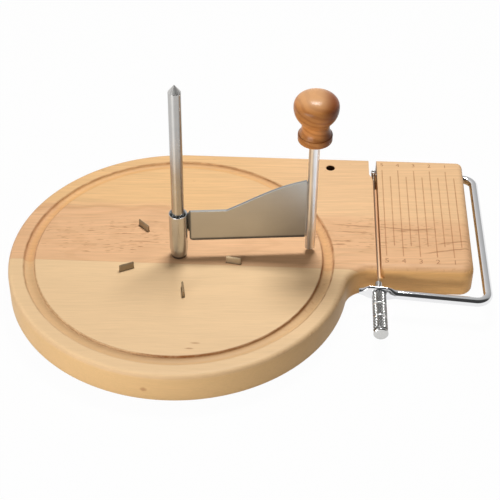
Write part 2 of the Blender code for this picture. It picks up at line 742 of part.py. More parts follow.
def make_wire(hinge, steel):
    """The eyelet behind the bow's rear end, the ferrule through it, and the wire to the screw."""
    eyelet = tube(EYELET_RADIUS, EYELET_HOLE_RADIUS, -EYELET_HEIGHT / 2, EYELET_HEIGHT / 2, SMALL_SIDES)
    make_object("wire_eyelet", eyelet, hinge, place=(WIRE_X, EYELET_Y - HINGE_Y, 0), material=steel)
    quarter = math.radians(90)
    rear = EYELET_Y - HINGE_Y - EYELET_RADIUS - SEAT_GAP
    front = -BOW_RADIUS - FERRULE_PAST_ROD
    ferrule = rod(FERRULE_RADIUS, -rear, -front, SMALL_SIDES)
    make_object("wire_ferrule", ferrule, hinge, place=(WIRE_X, 0, 0), turn=(quarter, 0, 0), material=steel)
    start = front - SEAT_GAP
    end = SCREW_REAR_Y - SCREW_SOCKET_DEPTH + SEAT_GAP - HINGE_Y
    wire = rod(WIRE_DIAMETER / 2, -start, -end, SMALL_SIDES)
    make_object("cutting_wire", wire, hinge, place=(WIRE_X, 0, 0), turn=(quarter, 0, 0), material=steel)


def make_screw(hinge, steel):
    """The tension screw, with a socket in its rear end for the wire."""
    quarter = math.radians(90)
    length = SCREW_REAR_Y - HANDLE_REAR_Y + SCREW_IN_HANDLE
    socket = WIRE_DIAMETER / 2 + SEAT_GAP
    chamfer = 0.4 * MM
    profile = [
        (0, SCREW_SOCKET_DEPTH),
        (socket, SCREW_SOCKET_DEPTH),
        (socket, 0),
        (SCREW_RADIUS - chamfer, 0),
        (SCREW_RADIUS, chamfer),
        (SCREW_RADIUS, length - chamfer),
        (SCREW_RADIUS - chamfer, length),
        (0, length),
    ]
    place = (WIRE_X, SCREW_REAR_Y - HINGE_Y, 0)
    make_object("tension_screw", turned(profile), hinge, place, (quarter, 0, 0), steel)


def handle_profile():
    """The handle's outline with its turned rings, from the eye plate to the free end."""
    radius = HANDLE_DIAMETER / 2
    bore = SCREW_RADIUS + RUNNING_GAP
    bore_end = SCREW_IN_HANDLE + HANDLE_BORE_END_ROOM
    chamfer = HANDLE_CHAMFER
    grip = HANDLE_LENGTH - HANDLE_CAP_LENGTH
    profile = [(0, bore_end), (bore, bore_end), (bore, 0), (radius - chamfer, 0), (radius, chamfer)]
    for ring in range(1, HANDLE_RING_COUNT + 1):
        end = grip * ring / HANDLE_RING_COUNT
        start = end - HANDLE_RING_WIDTH
        low = radius - HANDLE_RING_DEPTH
        profile += [(radius, start), (low, start), (low, end), (radius, end)]
    profile += [(radius, HANDLE_LENGTH - chamfer), (radius - chamfer, HANDLE_LENGTH), (0, HANDLE_LENGTH)]
    return profile


def make_handle(hinge, steel):
    """The tension handle, which turns on the screw against the eye plate."""
    place = (WIRE_X, HANDLE_REAR_Y - HINGE_Y, 0)
    turn = (math.radians(90), 0, 0)
    make_object("tension_handle", turned(handle_profile()), hinge, place, turn, steel)


def main():
    clear_scene()
    frame = make_empty("part_frame", place=(-BOX_CENTRE_X, 0, BOARD_TOP_LIFT))
    scraper = make_empty("scraper_axis", frame, turn=(0, 0, math.radians(SCRAPER_ANGLE)))
    hinge = make_empty("bow_axis", frame, place=(0, HINGE_Y, WIRE_Z))
    board_wood = make_material("board_wood", (0.80, 0.56, 0.33), 0.0, 0.5)
    knob_wood = make_material("knob_wood", (0.48, 0.22, 0.09), 0.0, 0.3)
    rubber = make_material("foot_rubber", (0.62, 0.60, 0.56), 0.0, 0.8)
    make_board(frame, board_wood)
    make_spikes(frame, make_material("spike_steel", (0.55, 0.54, 0.52), 1.0, 0.35))
    make_spindle(frame, make_material("spindle_steel", (0.66, 0.65, 0.63), 1.0, 0.25))
    make_spindle_fasteners(frame, make_material("fastener_steel", (0.60, 0.60, 0.60), 1.0, 0.4))
    make_feet(frame, rubber)
    make_sleeve(scraper, make_material("sleeve_steel", (0.62, 0.60, 0.56), 1.0, 0.3))
    make_blade(scraper, make_material("blade_steel", (0.60, 0.57, 0.53), 1.0, 0.35))
    make_bracket(scraper, make_material("bracket_steel", (0.58, 0.56, 0.53), 1.0, 0.4))
    rod_steel = make_material("rod_steel", (0.68, 0.67, 0.66), 1.0, 0.3)
    make_handle_rod(scraper, rod_steel)
    make_knob(scraper, knob_wood, make_material("bush_steel", (0.60, 0.60, 0.60), 1.0, 0.4))
    make_bow(hinge, make_material("bow_chrome", (0.80, 0.80, 0.81), 1.0, 0.08))
    make_wire(hinge, make_material("wire_steel", (0.60, 0.60, 0.60), 1.0, 0.25))
    make_screw(hinge, make_material("screw_steel", (0.55, 0.55, 0.55), 1.0, 0.35))
    make_handle(hinge, make_material("handle_chrome", (0.74, 0.74, 0.74), 1.0, 0.2))


main()
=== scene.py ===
# %% [markdown]
# # A cheese board with a curler and a wire slicer
#
# The board carries two tools. On the round part a scraper blade turns round an upright spindle and
# curls the top of a cheese wheel. On the block beside it a steel bow swings a wire down through a
# piece of cheese into a slot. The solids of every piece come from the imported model, so this lesson
# adds fine surfaces and finishes to them and never moves anything.

import math

import bmesh
import bpy
import numpy as np
from mathutils import Matrix, Vector


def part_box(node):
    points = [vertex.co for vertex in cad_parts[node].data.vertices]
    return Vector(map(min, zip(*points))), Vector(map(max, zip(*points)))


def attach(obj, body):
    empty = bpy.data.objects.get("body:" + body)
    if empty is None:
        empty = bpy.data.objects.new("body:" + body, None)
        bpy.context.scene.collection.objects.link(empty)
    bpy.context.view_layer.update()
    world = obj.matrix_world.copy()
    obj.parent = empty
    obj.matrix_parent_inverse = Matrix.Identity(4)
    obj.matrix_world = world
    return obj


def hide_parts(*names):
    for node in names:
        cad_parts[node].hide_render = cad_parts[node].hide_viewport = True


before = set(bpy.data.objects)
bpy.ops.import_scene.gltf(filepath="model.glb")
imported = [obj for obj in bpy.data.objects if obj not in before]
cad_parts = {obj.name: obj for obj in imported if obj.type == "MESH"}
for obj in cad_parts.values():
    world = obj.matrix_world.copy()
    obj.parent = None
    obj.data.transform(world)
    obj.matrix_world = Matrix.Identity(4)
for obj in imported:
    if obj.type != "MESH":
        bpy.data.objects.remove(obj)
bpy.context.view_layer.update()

# %% [markdown]
# All shapes below are worked out in millimetres, measured from the point where the spindle's axis
# meets the board's top face: X runs to the block, Y to the back edge and Z up. Two solids of the
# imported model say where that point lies, so nothing is placed by eye.

# %% Millimetres on the board
MM = 0.001
spindle_low, spindle_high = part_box("spindle")
AXIS_X = (spindle_low.x + spindle_high.x) / 2 / MM
TOP_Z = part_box("cutting_board")[1].z / MM
BOARD_ORIGIN = np.array([AXIS_X, 0, TOP_Z])


def in_metres(points):
    """Points in millimetres on the board as points in metres in the model's frame."""
    return (np.asarray(points, float) + BOARD_ORIGIN) * MM


def new_object(name, data):
    """An object in the scene, at the origin."""
    made = bpy.data.objects.new(name, data)
    bpy.context.scene.collection.objects.link(made)
    return made


print("spindle axis at x =", round(AXIS_X, 3), "mm, board top at z =", round(TOP_Z, 3), "mm")

# %% [markdown]
# ## The camera
#
# A ruler on the block and the round groove fix the view: a long lens looks down at 40 degrees from
# in front. A camera that looks straight down is rolled round its own axis, tipped up to its pitch
# and then swung round the upright, so that each angle can be read and changed by itself.

# %% Set up the camera
IMAGE_WIDTH = 500
LENS_PIXELS = 1382.6
SENSOR_WIDTH = 36
CAMERA_PLACE = (60.47, -615.44, 530.59)
CAMERA_YAW, CAMERA_PITCH, CAMERA_ROLL = -1.7505, 40.4600, 0.7370

camera_data = bpy.data.cameras.new("camera")
camera_data.sensor_width = SENSOR_WIDTH
camera_data.lens = LENS_PIXELS / IMAGE_WIDTH * SENSOR_WIDTH
camera_data.clip_start, camera_data.clip_end = 0.05, 20
turn = Matrix.Translation(in_metres(CAMERA_PLACE))
for degrees, axis in ((-CAMERA_YAW, "Z"), (90 - CAMERA_PITCH, "X"), (CAMERA_ROLL, "Z")):
    turn = turn @ Matrix.Rotation(math.radians(degrees), 4, axis)
bpy.context.scene.camera = new_object("camera", camera_data)
bpy.context.scene.camera.matrix_world = turn
bpy.context.scene.view_settings.view_transform = "Standard"
print("lens:", round(camera_data.lens, 2), "mm")

# %% [markdown]
# ## Signals and finishes
#
# A finish is a small program of nodes. Writing each Math node by hand hides the formula, so a
# signal wraps one socket and Python's own plus, minus and times add the nodes. A finish makes every
# other node through one method, which sets the node's settings before it fills its sockets.

# %% A signal and a finish


class Signal:
    """One value inside a finish. Arithmetic on it adds Math nodes."""

    def __init__(self, finish, socket):
        self.finish = finish
        self.socket = socket

    def maths(self, operation, *values):
        return self.finish.node("Math", {"operation": operation}, dict(enumerate(values)))

    def larger(self, other):
        return self.maths("MAXIMUM", self, other)

    def smaller(self, other):
        return self.maths("MINIMUM", self, other)

    def __abs__(self):
        return self.maths("ABSOLUTE", self)


def arithmetic(operation, behind):
    """The method of one of Python's operators, for a signal in front of it or behind it."""

    def method(signal, other):
        return signal.maths(operation, *((other, signal) if behind else (signal, other)))

    return method


OPERATORS = {"add": "ADD", "sub": "SUBTRACT", "mul": "MULTIPLY", "truediv": "DIVIDE", "pow": "POWER"}
for name, operation in OPERATORS.items():
    setattr(Signal, f"__{name}__", arithmetic(operation, False))
    setattr(Signal, f"__r{name}__", arithmetic(operation, True))


class Finish:
    """The nodes of a new material, or of a world, under construction."""

    def __init__(self, name, owner=None):
        self.owner = owner or bpy.data.materials.new(name)
        self.owner.use_nodes = True
        self.tree = self.owner.node_tree
        self.shader = self.tree.nodes.get("Principled BSDF")

    def feed(self, socket, value):
        """Join a signal to a socket, or set the socket's own value."""
        if isinstance(value, Signal):
            self.tree.links.new(value.socket, socket)
        elif socket.type == "RGBA" and len(value) == 3:
            socket.default_value = (*value, 1)
        else:
            socket.default_value = value

    def node(self, kind, settings, values, output=0):
        """Make a node, set it up, fill its sockets and hand back one of its outputs."""
        made = self.tree.nodes.new("ShaderNode" + kind)
        for name, setting in settings.items():
            setattr(made, name, setting)
        for name, value in values.items():
            self.feed(made.inputs[name], value)
        return Signal(self, made.outputs[output])

    def spot(self, scale=(1, 1, 1), shift=(0, 0, 0), turn=(0, 0, 0)):
        """The surface point in millimetres, moved, turned and then stretched."""
        origin = tuple(-BOARD_ORIGIN - np.array(shift))
        values = {0: self.node("TexCoord", {}, {}, "Object"), 1: (1 / MM,) * 3, 2: origin}
        moved = self.node("VectorMath", {"operation": "MULTIPLY_ADD"}, values)
        turned = self.node("Mapping", {}, {"Vector": moved, "Rotation": turn}) if any(turn) else moved
        return self.stretched(turned, scale)

    def stretched(self, vector, scale):
        return self.node("VectorMath", {"operation": "MULTIPLY"}, {0: vector, 1: scale})

    def parts(self, vector):
        """X, Y and Z of a vector as three signals."""
        return [self.node("SeparateXYZ", {}, {0: vector}, axis) for axis in "XYZ"]

    def noise(self, vector, detail=2, roughness=0.5):
        """Cloudy noise between 0 and 1 with cells one unit wide."""
        return self.node("TexNoise", {}, {"Vector": vector, "Scale": 1, "Detail": detail, "Roughness": roughness})

    def cells(self, point, sizes, detail=2, roughness=0.5):
        """Noise at a point whose cells have a size in millimetres along each axis."""
        x, y, z = (value / size for value, size in zip(point, sizes))
        return self.noise(self.node("CombineXYZ", {}, {0: x, 1: y, 2: z}), detail, roughness)

    def rise(self, value, low, high):
        """0 below low, 1 above high and a smooth step between."""
        values = {"Value": value, "From Min": low, "From Max": high}
        return self.node("MapRange", {"interpolation_type": "SMOOTHSTEP"}, values)

    def fall(self, value, low, high):
        """1 below low, 0 above high."""
        return 1 - self.rise(value, low, high)

    def rings(self, reach, width, low):
        """Late wood of growth rings: the sine of reach / width in turns, above a low limit."""
        ring = reach * (2 * math.pi / width)
        return self.rise(ring.maths("SINE", ring), low, 1)

    def mix(self, share, first, second):
        """Blend two colours by a share from 0 to 1."""
        return self.node("Mix", {"data_type": "RGBA"}, {0: share, 6: first, 7: second}, 2)

    def scaled(self, colour, amount):
        """A colour made lighter or darker by a factor."""
        return self.node("VectorMath", {"operation": "SCALE"}, {0: colour, "Scale": amount})

    def bump(self, height, distance):
        return self.node("Bump", {}, {"Height": height, "Distance": distance, "Strength": 1})

    def ray(self, kind):
        """1 for rays of a kind, such as those from the camera."""
        return self.node("LightPath", {}, {}, f"Is {kind} Ray")

    def surface(self, **values):
        """Feed the Principled shader. Underscores in names stand for spaces."""
        for name, value in values.items():
            self.feed(self.shader.inputs[name.replace("_", " ")], value)
        return self.owner


def shade(red, green, blue):
    """A colour as a paint chart gives it, from 0 to 255, as linear light."""
    value = np.array([red, green, blue]) / 255
    return tuple(float(v) for v in np.where(value <= 0.04045, value / 12.92, ((value + 0.055) / 1.055) ** 2.4))


print("one step of grey 128 is", round(shade(128, 128, 128)[0], 3), "of full light")

# %% [markdown]
# ## Surfaces from arrays
#
# Every new piece is a grid of points: rings of points, one after another. Neighbouring rings are
# joined by quads, and the first and last ring are closed by a flat face or by a fan of triangles
# round a middle point. The whole grid is computed at once, and only then becomes a mesh.

# %% Rings, turned shapes and tubes


def quads(rows, columns):
    """Corner numbers of the quads between rings, each of which closes on itself."""
    row = np.arange(rows - 1)[:, None] * columns
    column = np.arange(columns)[None, :]
    after = (column + 1) % columns
    corners = [row + column, row + after, row + columns + after, row + columns + column]
    return np.stack(np.broadcast_arrays(*corners), -1).reshape(-1, 4)


def skin(rings, ends="fan"):
    """Points and faces of a body through rings of shape (rings, points, 3).

    ends is "fan" for a middle point in each end, "flat" for one face, or "loop" where the last
    ring is joined to the first, as on a tube with a bore.
    """
    rings = np.asarray(rings, float)
    rows, columns = rings.shape[:2]
    points = rings.reshape(-1, 3)
    if ends == "loop":
        return points, (quads(rows + 1, columns) % len(points)).tolist()
    faces = quads(rows, columns)
    first = np.arange(columns)
    last = first + (rows - 1) * columns
    if ends == "flat":
        return points, faces.tolist() + [first[::-1].tolist(), last.tolist()]
    middles = np.stack([rings[0].mean(0), rings[-1].mean(0)])
    low = np.stack([np.roll(first, -1), first, np.full(columns, len(points))], -1)
    high = np.stack([last, np.roll(last, -1), np.full(columns, len(points) + 1)], -1)
    return np.concatenate([points, middles]), faces.tolist() + low.tolist() + high.tolist()


def grid_rings(height, radius_of, count):
    """Rings (r cos a, r sin a, h), the radius a function of the angle and the height."""
    height = np.asarray(height, float)[:, None]
    angle = np.linspace(0, 2 * np.pi, count, endpoint=False)[None, :]
    radius = radius_of(angle, height)
    return np.stack(np.broadcast_arrays(radius * np.cos(angle), radius * np.sin(angle), height), -1)


def turned(profile, count=64):
    """Rings of a turned shape: each (radius, height) pair becomes a circle."""
    profile = np.asarray(profile, float)
    return grid_rings(profile[:, 1], lambda angle, height: profile[:, :1], count)


def bored(profile, count):
    """Rings round the axis of a turned shape with a bore: copies of its closed profile."""
    return np.transpose(turned(profile, count), (1, 0, 2))


def soften(profile, radius, steps=4):
    """Round the inner corners of a profile. Each becomes (1-s)^2 a + 2s(1-s) p + s^2 b.

    a and b lie on the two sides of the corner p, at the radius from it or, on a side too short for
    that, just before its middle.
    """
    profile = np.asarray(profile, float)
    corner, before, after = profile[1:-1], profile[:-2] - profile[1:-1], profile[2:] - profile[1:-1]
    reach = [np.minimum(radius, 0.45 * np.linalg.norm(side, axis=1)) for side in (before, after)]
    start = corner + before / np.linalg.norm(before, axis=1)[:, None] * reach[0][:, None]
    end = corner + after / np.linalg.norm(after, axis=1)[:, None] * reach[1][:, None]
    s = np.linspace(0, 1, steps + 1)[None, :, None]
    curve = (1 - s) ** 2 * start[:, None] + 2 * s * (1 - s) * corner[:, None] + s**2 * end[:, None]
    return np.concatenate([profile[:1], curve.reshape(-1, 2), profile[-1:]])


def along_y(rings, x, y, z):
    """Lay an upright shape down: its height runs to the front from the point x, y, z."""
    return np.stack([rings[..., 0] + x, y - rings[..., 2], rings[..., 1] + z], -1)


def arc(centre, radius, start, end, count):
    """Points centre + radius (cos a, sin a), from one angle in degrees to another."""
    angle = np.radians(np.linspace(start, end, count))
    return np.stack([centre[0] + radius * np.cos(angle), centre[1] + radius * np.sin(angle)], -1)


def about_z(points, degrees):
    """Turn points round the Z axis."""
    angle = math.radians(degrees)
    spin = np.array([[math.cos(angle), math.sin(angle), 0], [-math.sin(angle), math.cos(angle), 0], [0, 0, 1]])
    return np.asarray(points, float) @ spin


print("a ring of 8 and a ring of 8 make", len(quads(2, 8)), "quads")

# %% Meshes and pieces


def make_mesh(name, points, faces, material, sharp=35):
    """A mesh in metres, its faces outwards, smooth except at edges sharper than an angle."""
    mesh = bpy.data.meshes.new(name)
    mesh.from_pydata(in_metres(points).tolist(), [], faces)
    tidy = bmesh.new()
    tidy.from_mesh(mesh)
    bmesh.ops.recalc_face_normals(tidy, faces=tidy.faces)
    tidy.to_mesh(mesh)
    tidy.free()
    mesh.shade_smooth()
    mesh.set_sharp_from_angle(angle=math.radians(sharp))
    if material:
        mesh.materials.append(material)
    return mesh


def add_piece(name, mesh, body, nodes=()):
    """Put a mesh into the scene, let it ride on its body and stand for the solids it replaces."""
    piece = new_object(name, mesh)
    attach(piece, body)
    if nodes:
        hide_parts(*nodes)
    print(f"{name}: {len(mesh.vertices)} points on {body}")


def build(name, shape, material, body, nodes=(), sharp=35):
    """Points and faces become a mesh, and the mesh becomes a piece."""
    add_piece(name, make_mesh(name, *shape, material, sharp), body, nodes)


def final_mesh(thing, helpers=()):
    """The mesh that an object's modifiers leave, once it and its helpers are removed."""
    graph = bpy.context.evaluated_depsgraph_get()
    mesh = bpy.data.meshes.new_from_object(thing.evaluated_get(graph))
    for made in (thing, *helpers):
        bpy.data.objects.remove(made, do_unlink=True)
    return mesh


def carve(name, mesh, cutters, sharp):
    """Cut closed shapes out of a mesh one by one and return what is left."""
    block = new_object(name, mesh)
    tools = [new_object("cutter", make_mesh("cutter", *shape, None)) for shape in cutters]
    for tool in tools:
        step = block.modifiers.new("cut", "BOOLEAN")
        step.object = tool
        step.operation = "DIFFERENCE"
        step.solver = "EXACT"
    carved = final_mesh(block, tools)
    carved.shade_smooth()
    carved.set_sharp_from_angle(angle=math.radians(sharp))
    carved.name = name
    return carved


def gather(bodies):
    """Several sets of points and faces as one set."""
    points, faces, start = [], [], 0
    for some_points, some_faces in bodies:
        points.append(some_points)
        faces += [[corner + start for corner in face] for face in some_faces]
        start += len(some_points)
    return np.concatenate(points), faces


# %% [markdown]
# ## The wood of the board
#
# The board is glued up from staves that run along X. The front one is pale and calm, the others are
# warmer, with a pink heart zone full of short brown flecks. Real wood is solid, so the pattern is
# too: every clue is a function of X, Y and Z, stretched many times along the grain. The board's
# sides then show the same growth as its top, and the two ends show it as end grain.

# %% Colours and places in the wood
FRONT_STAVE_EDGE = -8
PALE_STAVE = shade(234, 200, 155)
PINK_HEART = shade(229, 183, 139)
WARM_LEFT, WARM_RIGHT = shade(233, 190, 137), shade(235, 194, 148)
FLECK_BROWN = shade(168, 112, 72)
GROWTH_BROWN = shade(200, 147, 102)
SIDE_PALE, SIDE_WARM = shade(217, 176, 120), shade(238, 183, 112)
# Brown of scorched tool marks, also used for painted shade on the groove's inner wall.
SCORCH_AND_SHADE_BROWN = shade(148, 96, 52)
RULER_BROWN = shade(156, 78, 24)
# The slot's floor, with painted light that is palest at the front, and the brown of painted shade on its sides.
SLOT_LIT_FRONT, SLOT_LIT_BACK, SLOT_SHADE_BROWN = shade(250, 218, 176), shade(232, 186, 142), shade(168, 104, 60)
# Painted shade inside holes, spike pockets and the notch by the bow's hinge.
HOLE_SHADE_BROWN = shade(62, 30, 14)
GROOVE_IN, GROOVE_OUT = 84.4, 91
RULER_START, RULER_STEP, RULER_COUNT = 117.2, 5, 10
# Ends of the short ruler lines along Y, and how much further the long ones reach.
RULER_LOW, RULER_HIGH, LONGER_LOW, LONGER_HIGH = 14.6, 82.7, 9.6, 6.6
# The pith of the growth rings, below the board: the X where it is highest, its Y and its Z.
PITH_X, PITH_Y, PITH_Z = -24, 16, -52
WIRE_X, WIRE_Z = 117.3, -7
HOLE_X, HOLE_Y = 89.5, 89.6
# Long streaks: middle x, middle y, half the length, slope, half the width.
STREAKS = (
    (96.2, 17.4, 8, 0.05, 0.6), (93.5, 14, 6, 0.05, 0.55), (104, 32, 16, -0.05, 0.7),
    (104, 26.2, 12, -0.04, 0.7), (131, 30.6, 16, -0.10, 0.8), (140, 30, 16, 0.12, 0.7),
    (158.4, 11.6, 18, 0.227, 0.8), (162, 19.4, 12, 0.20, 0.9), (-20, 10.9, 9, 0, 0.5),
    (-34, 17.6, 8, 0.03, 0.45), (-38, 23.8, 8, -0.03, 0.45),
)
# Pin knots: x, y, z, half the length, half the width.
KNOTS = ((14.4, -73.6, 0, 3.4, 0.7), (11.5, -78, 0, 3, 0.7), (-12, -99.5, -11, 2.2, 2))


def growth_lines(wood, x, y, z):
    """Late wood of a flat-sawn stave: rings round a pith below the board that dips along X.

    The reach of a point is its distance to the pith + a slope along X + slow waves.
    """
    waves = wood.cells((x, y, z), (70, 26, 26))
    across = (y - PITH_Y) ** 2 + (z - PITH_Z) ** 2
    return wood.rings(across**0.5 + abs(x - PITH_X) * 0.085 + waves * 16, 4.3, 0.55)


def strongest(marks):
    """The largest of several signals."""
    first, *others = marks
    for other in others:
        first = first.larger(other)
    return first


def fleck_marks(wood, x, y, z):
    """Short brown dashes along the grain, densest in the heart left of the spindle and beside the slot."""
    dash = wood.cells((x, y, z), (6.5, 0.55, 0.9), 1, 0.4)
    cloud = wood.cells((x, y, z), (34, 13, 13), 1)
    left = ((x + 42) / 50) ** 2 + ((y - 17) / 19) ** 2
    right = ((x - 118) / 52) ** 2 + ((y - 20) / 18) ** 2
    dense = wood.fall(left.smaller(right), 0.4, 1.3)
    limit = 0.76 - 0.13 * dense * (0.4 + 1.2 * cloud)
    return wood.rise(dash - limit, 0, 0.09) * wood.rise(z, -2.5, -1)


def streaks(wood, x, y):
    """Single long dark streaks, each a line that wanders a little, faded towards its ends."""
    wander = (wood.cells((x, y, 0), (6, 6, 1)) - 0.5) * 1.6
    marks = []
    for middle_x, middle_y, half, slope, width in STREAKS:
        along = x - middle_x
        aside = abs(y - middle_y - along * slope + wander)
        marks.append(wood.fall(abs(along), 0.45 * half, half) * wood.fall(aside, 0.1, width))
    return strongest(marks) * (0.45 + 0.75 * wood.cells((x, y, 0), (2.5, 0.8, 1)))


def pin_knots(wood, x, y, z):
    """Small dark eyes: an ellipse of warped distance round each place, strongest at its middle."""
    warp = wood.cells((x, y, z), (3, 3, 3), 1) * 0.9
    marks = []
    for knot_x, knot_y, knot_z, length, width in KNOTS:
        far = ((x - knot_x) / length) ** 2 + ((y - knot_y) / width) ** 2 + ((z - knot_z) / width) ** 2
        marks.append(wood.fall(far + warp, 0.4, 1.6))
    return strongest(marks)


def ruler_lines(wood, x, y, z):
    """Scorched lines every 5 mm. Every other line reaches further: those carry the numbers."""
    step = (x - RULER_START) / RULER_STEP
    nearest = step.maths("ROUND", step)
    line = wood.fall(abs(step - nearest) * RULER_STEP, 0.14, 0.42)
    long_line = nearest.maths("PINGPONG", nearest, 1)
    low, high = RULER_LOW - LONGER_LOW * long_line, RULER_HIGH + LONGER_HIGH * long_line
    inside = wood.rise(y - low, 0, 0.6) * wood.fall(y - high, -0.6, 0)
    field = wood.rise(nearest, 0.4, 0.6) * wood.fall(nearest, RULER_COUNT + 0.4, RULER_COUNT + 0.6)
    uneven = wood.cells((x, y, z), (3, 3, 1))
    return line * inside * field * wood.rise(z, -0.6, -0.3) * (0.55 + 0.9 * (uneven - 0.2))


def groove_edges(wood, x, y, z):
    """Tool marks: a brown line on each edge of the round groove, torn along the inner one.

    The inner line is widest and darkest at the front right, where it is also painted shade of the inner wall; the
    outer one at the back.
    """
    radius = (x * x + y * y) ** 0.5
    uneven = wood.rise(wood.cells((x, y, z), (7, 7, 1), 3), 0.35, 0.65)
    torn = wood.cells((x, y, z), (1.3, 1.3, 1)) * wood.rise(0 - x - y, 0, 90)
    # Painted shade of the inner wall widens and darkens the inner line at the front right.
    inner_wall_shade = wood.rise(x - y, 45, 100)
    inner = wood.fall(abs(radius - GROOVE_IN - 0.1 - 0.4 * inner_wall_shade), 0.15 + 0.4 * inner_wall_shade, 0.75 + 0.7 * inner_wall_shade)
    inner = inner * (0.08 + 0.3 * uneven + torn * 0.9 + 0.75 * inner_wall_shade)
    most = wood.rise(y - x, -60, 90).larger(wood.rise(x, 60, 82))
    outer = wood.fall(abs(radius - GROOVE_OUT + 0.3), 0.25, 1.15)
    outer = outer * (0.45 + 0.5 * uneven) * (0.5 + 0.5 * most)
    return inner.larger(outer) * wood.rise(z, -1.9, -0.6)


# %% The board's finish


def inside_cuts(wood, x, y, z):
    """Three masks: painted shade in holes, pockets and the notch by the hinge, painted shade on the slot's sides,
    and painted light on the slot's floor.
    """
    hole = wood.fall(((x - HOLE_X) ** 2 + (y - HOLE_Y) ** 2) ** 0.5, 3, 3.3)
    middle = wood.fall((x * x + y * y) ** 0.5, 60, 61)
    hinge = wood.rise(x, 118.2, 118.5) * wood.fall(x, 119, 119.3) * wood.rise(y, 82, 85)
    below = wood.fall(z, -0.9, -0.3)
    # Painted shade in the hang hole, the cuts round the spindle and the notch by the hinge.
    dark = strongest([hole, middle, hinge * 0.9]) * below * wood.rise(z, -19.8, -19)
    in_slot = wood.rise(x, 115.8, 115.95) * wood.fall(x, 119.2, 119.35) * wood.rise(z, -10, -9)
    # Painted shade along the slot's left edge and on its right side.
    left, right = wood.fall(x, 116.75, 117.15), wood.rise(x, 118.55, 118.75)
    edges = left * wood.fall(z, -0.35, -0.1) + right * wood.fall(z, -4.5, -1.5)
    edges = in_slot * edges * wood.rise(y, -7.5, 6)
    # Painted light: the slot's floor is made pale, palest at the front.
    return dark, edges * (1 - dark), in_slot * (1 - left) * (1 - right) * below


def board_finish():
    """Staves, heart zone, growth, flecks and scorched marks, with a grain that can be felt, and painted shade and
    light in the cuts and low on the sides.
    """
    wood = Finish("board_wood")
    x, y, z = wood.parts(wood.spot())
    sway = (wood.cells((x, y, z), (85, 40, 40), 1) - 0.5) * 9
    across = y + sway - x * 0.045
    fine = wood.cells((x, across, z), (13, 0.42, 0.42), 3, 0.6)
    streak = wood.cells((x, across, z), (42, 1.5, 1.5), 3, 0.55)
    cloud = wood.cells((x, across, z), (90, 15, 15))
    front = wood.fall(y, FRONT_STAVE_EDGE - 0.15, FRONT_STAVE_EDGE + 0.15)
    heart_edge = (wood.cells((x, y, z), (40, 60, 60)) - 0.5) * 22
    bow = ((x + 45) / 36) ** 2 * 4
    beyond = y + heart_edge + bow.smaller(9) - 47
    heart = wood.fall(beyond, -5, 7) * (1 - front)
    rear = wood.mix(heart, wood.mix(wood.rise(x, 0, 100), WARM_LEFT, WARM_RIGHT), PINK_HEART)
    growth = growth_lines(wood, x, across, z) * (1 - front) * (0.03 + 0.22 * cloud * heart)
    rear = wood.mix(growth, rear, GROWTH_BROWN)
    border = wood.fall(abs(beyond + 1.5), 0, 2.8)
    rear = wood.mix(border * 0.34 * wood.fall(x, 20, 60), rear, GROWTH_BROWN)
    tone = wood.mix(front, rear, PALE_STAVE)
    sides = wood.fall(z, -3.4, -0.8)
    pale_side = wood.fall(y, FRONT_STAVE_EDGE - 9, FRONT_STAVE_EDGE + 0.5)
    tone = wood.mix(sides * 0.8, tone, wood.mix(pale_side, SIDE_WARM, SIDE_PALE))
    grain = (streak - 0.5) * (0.40 - 0.24 * front) * (1 - 0.4 * sides)
    tone = wood.scaled(tone, 1 + (fine - 0.5) * 0.20 + grain + (cloud - 0.5) * 0.12)
    # Painted shade: the sides are darkened towards the bottom.
    tone = wood.scaled(tone, 1 - 0.07 * wood.fall(z, -20, -14))
    flecks = fleck_marks(wood, x, across, z) * (0.14 + 0.70 * (1 - front))
    glue = wood.fall(abs(y - FRONT_STAVE_EDGE), 0.05, 0.22)
    for mark in (
        flecks,
        streaks(wood, x, y) * 0.8,
        pin_knots(wood, x, y, z) * 0.6,
        glue * 0.25 * wood.rise(z, -3, -1),
    ):
        tone = wood.mix(mark, tone, FLECK_BROWN)
    bowl = wood.rise(0 - z, 0.3, 1.2) * wood.rise(z, -2.4, -2.2) * (1 - sides * 0.5)
    burnt = wood.rise(wood.cells((x, y, 0), (2.6, 2.6, 1), 3), 0.54, 0.72) * wood.rise(x, 50, 75)
    # Tool marks on the groove's edges, with painted shade of the inner wall at the front right.
    scorch_and_shade = groove_edges(wood, x, y, z) * (0.66 + 0.22 * wood.rise(x, 20, 80))
    lines = ruler_lines(wood, x, y, z)
    # The masks paint shade in holes and on the slot's sides, and light on the slot's floor.
    dark, slot_side_shade, slot = inside_cuts(wood, x, y, z)
    for mark, colour in (
        (bowl * (0.18 + 0.5 * burnt), GROWTH_BROWN),
        (scorch_and_shade, SCORCH_AND_SHADE_BROWN),
        (lines * 0.55, RULER_BROWN),
        (slot, wood.mix(wood.rise(y, -5, 45), SLOT_LIT_FRONT, SLOT_LIT_BACK)),
        (slot_side_shade * 0.75, SLOT_SHADE_BROWN),
        (dark * 0.9, HOLE_SHADE_BROWN),
    ):
        tone = wood.mix(mark, tone, colour)
    height = fine * 0.35 + streak * 0.25 - flecks * 0.5 - lines * 1.4 - glue * 0.4
    return wood.surface(
        Base_Color=tone,
        Roughness=0.50 + (fine - 0.5) * 0.16 + flecks * 0.2,
        Specular_IOR_Level=0.25,
        Normal=wood.bump(height, 0.00012),
    )


board_wood = board_finish()
print("board finish:", len(board_wood.node_tree.nodes), "nodes")

# %% [markdown]
# ## The board's shape
#
# On the real board a router follows the outline, then its groove cutter, its saw for the wire and
# its drills come in. The surface is made in the same order: rings of the outline, drawn in along a
# quarter circle at the upper and lower edge, become the plank, and closed cutters are taken out of
# it one by one.

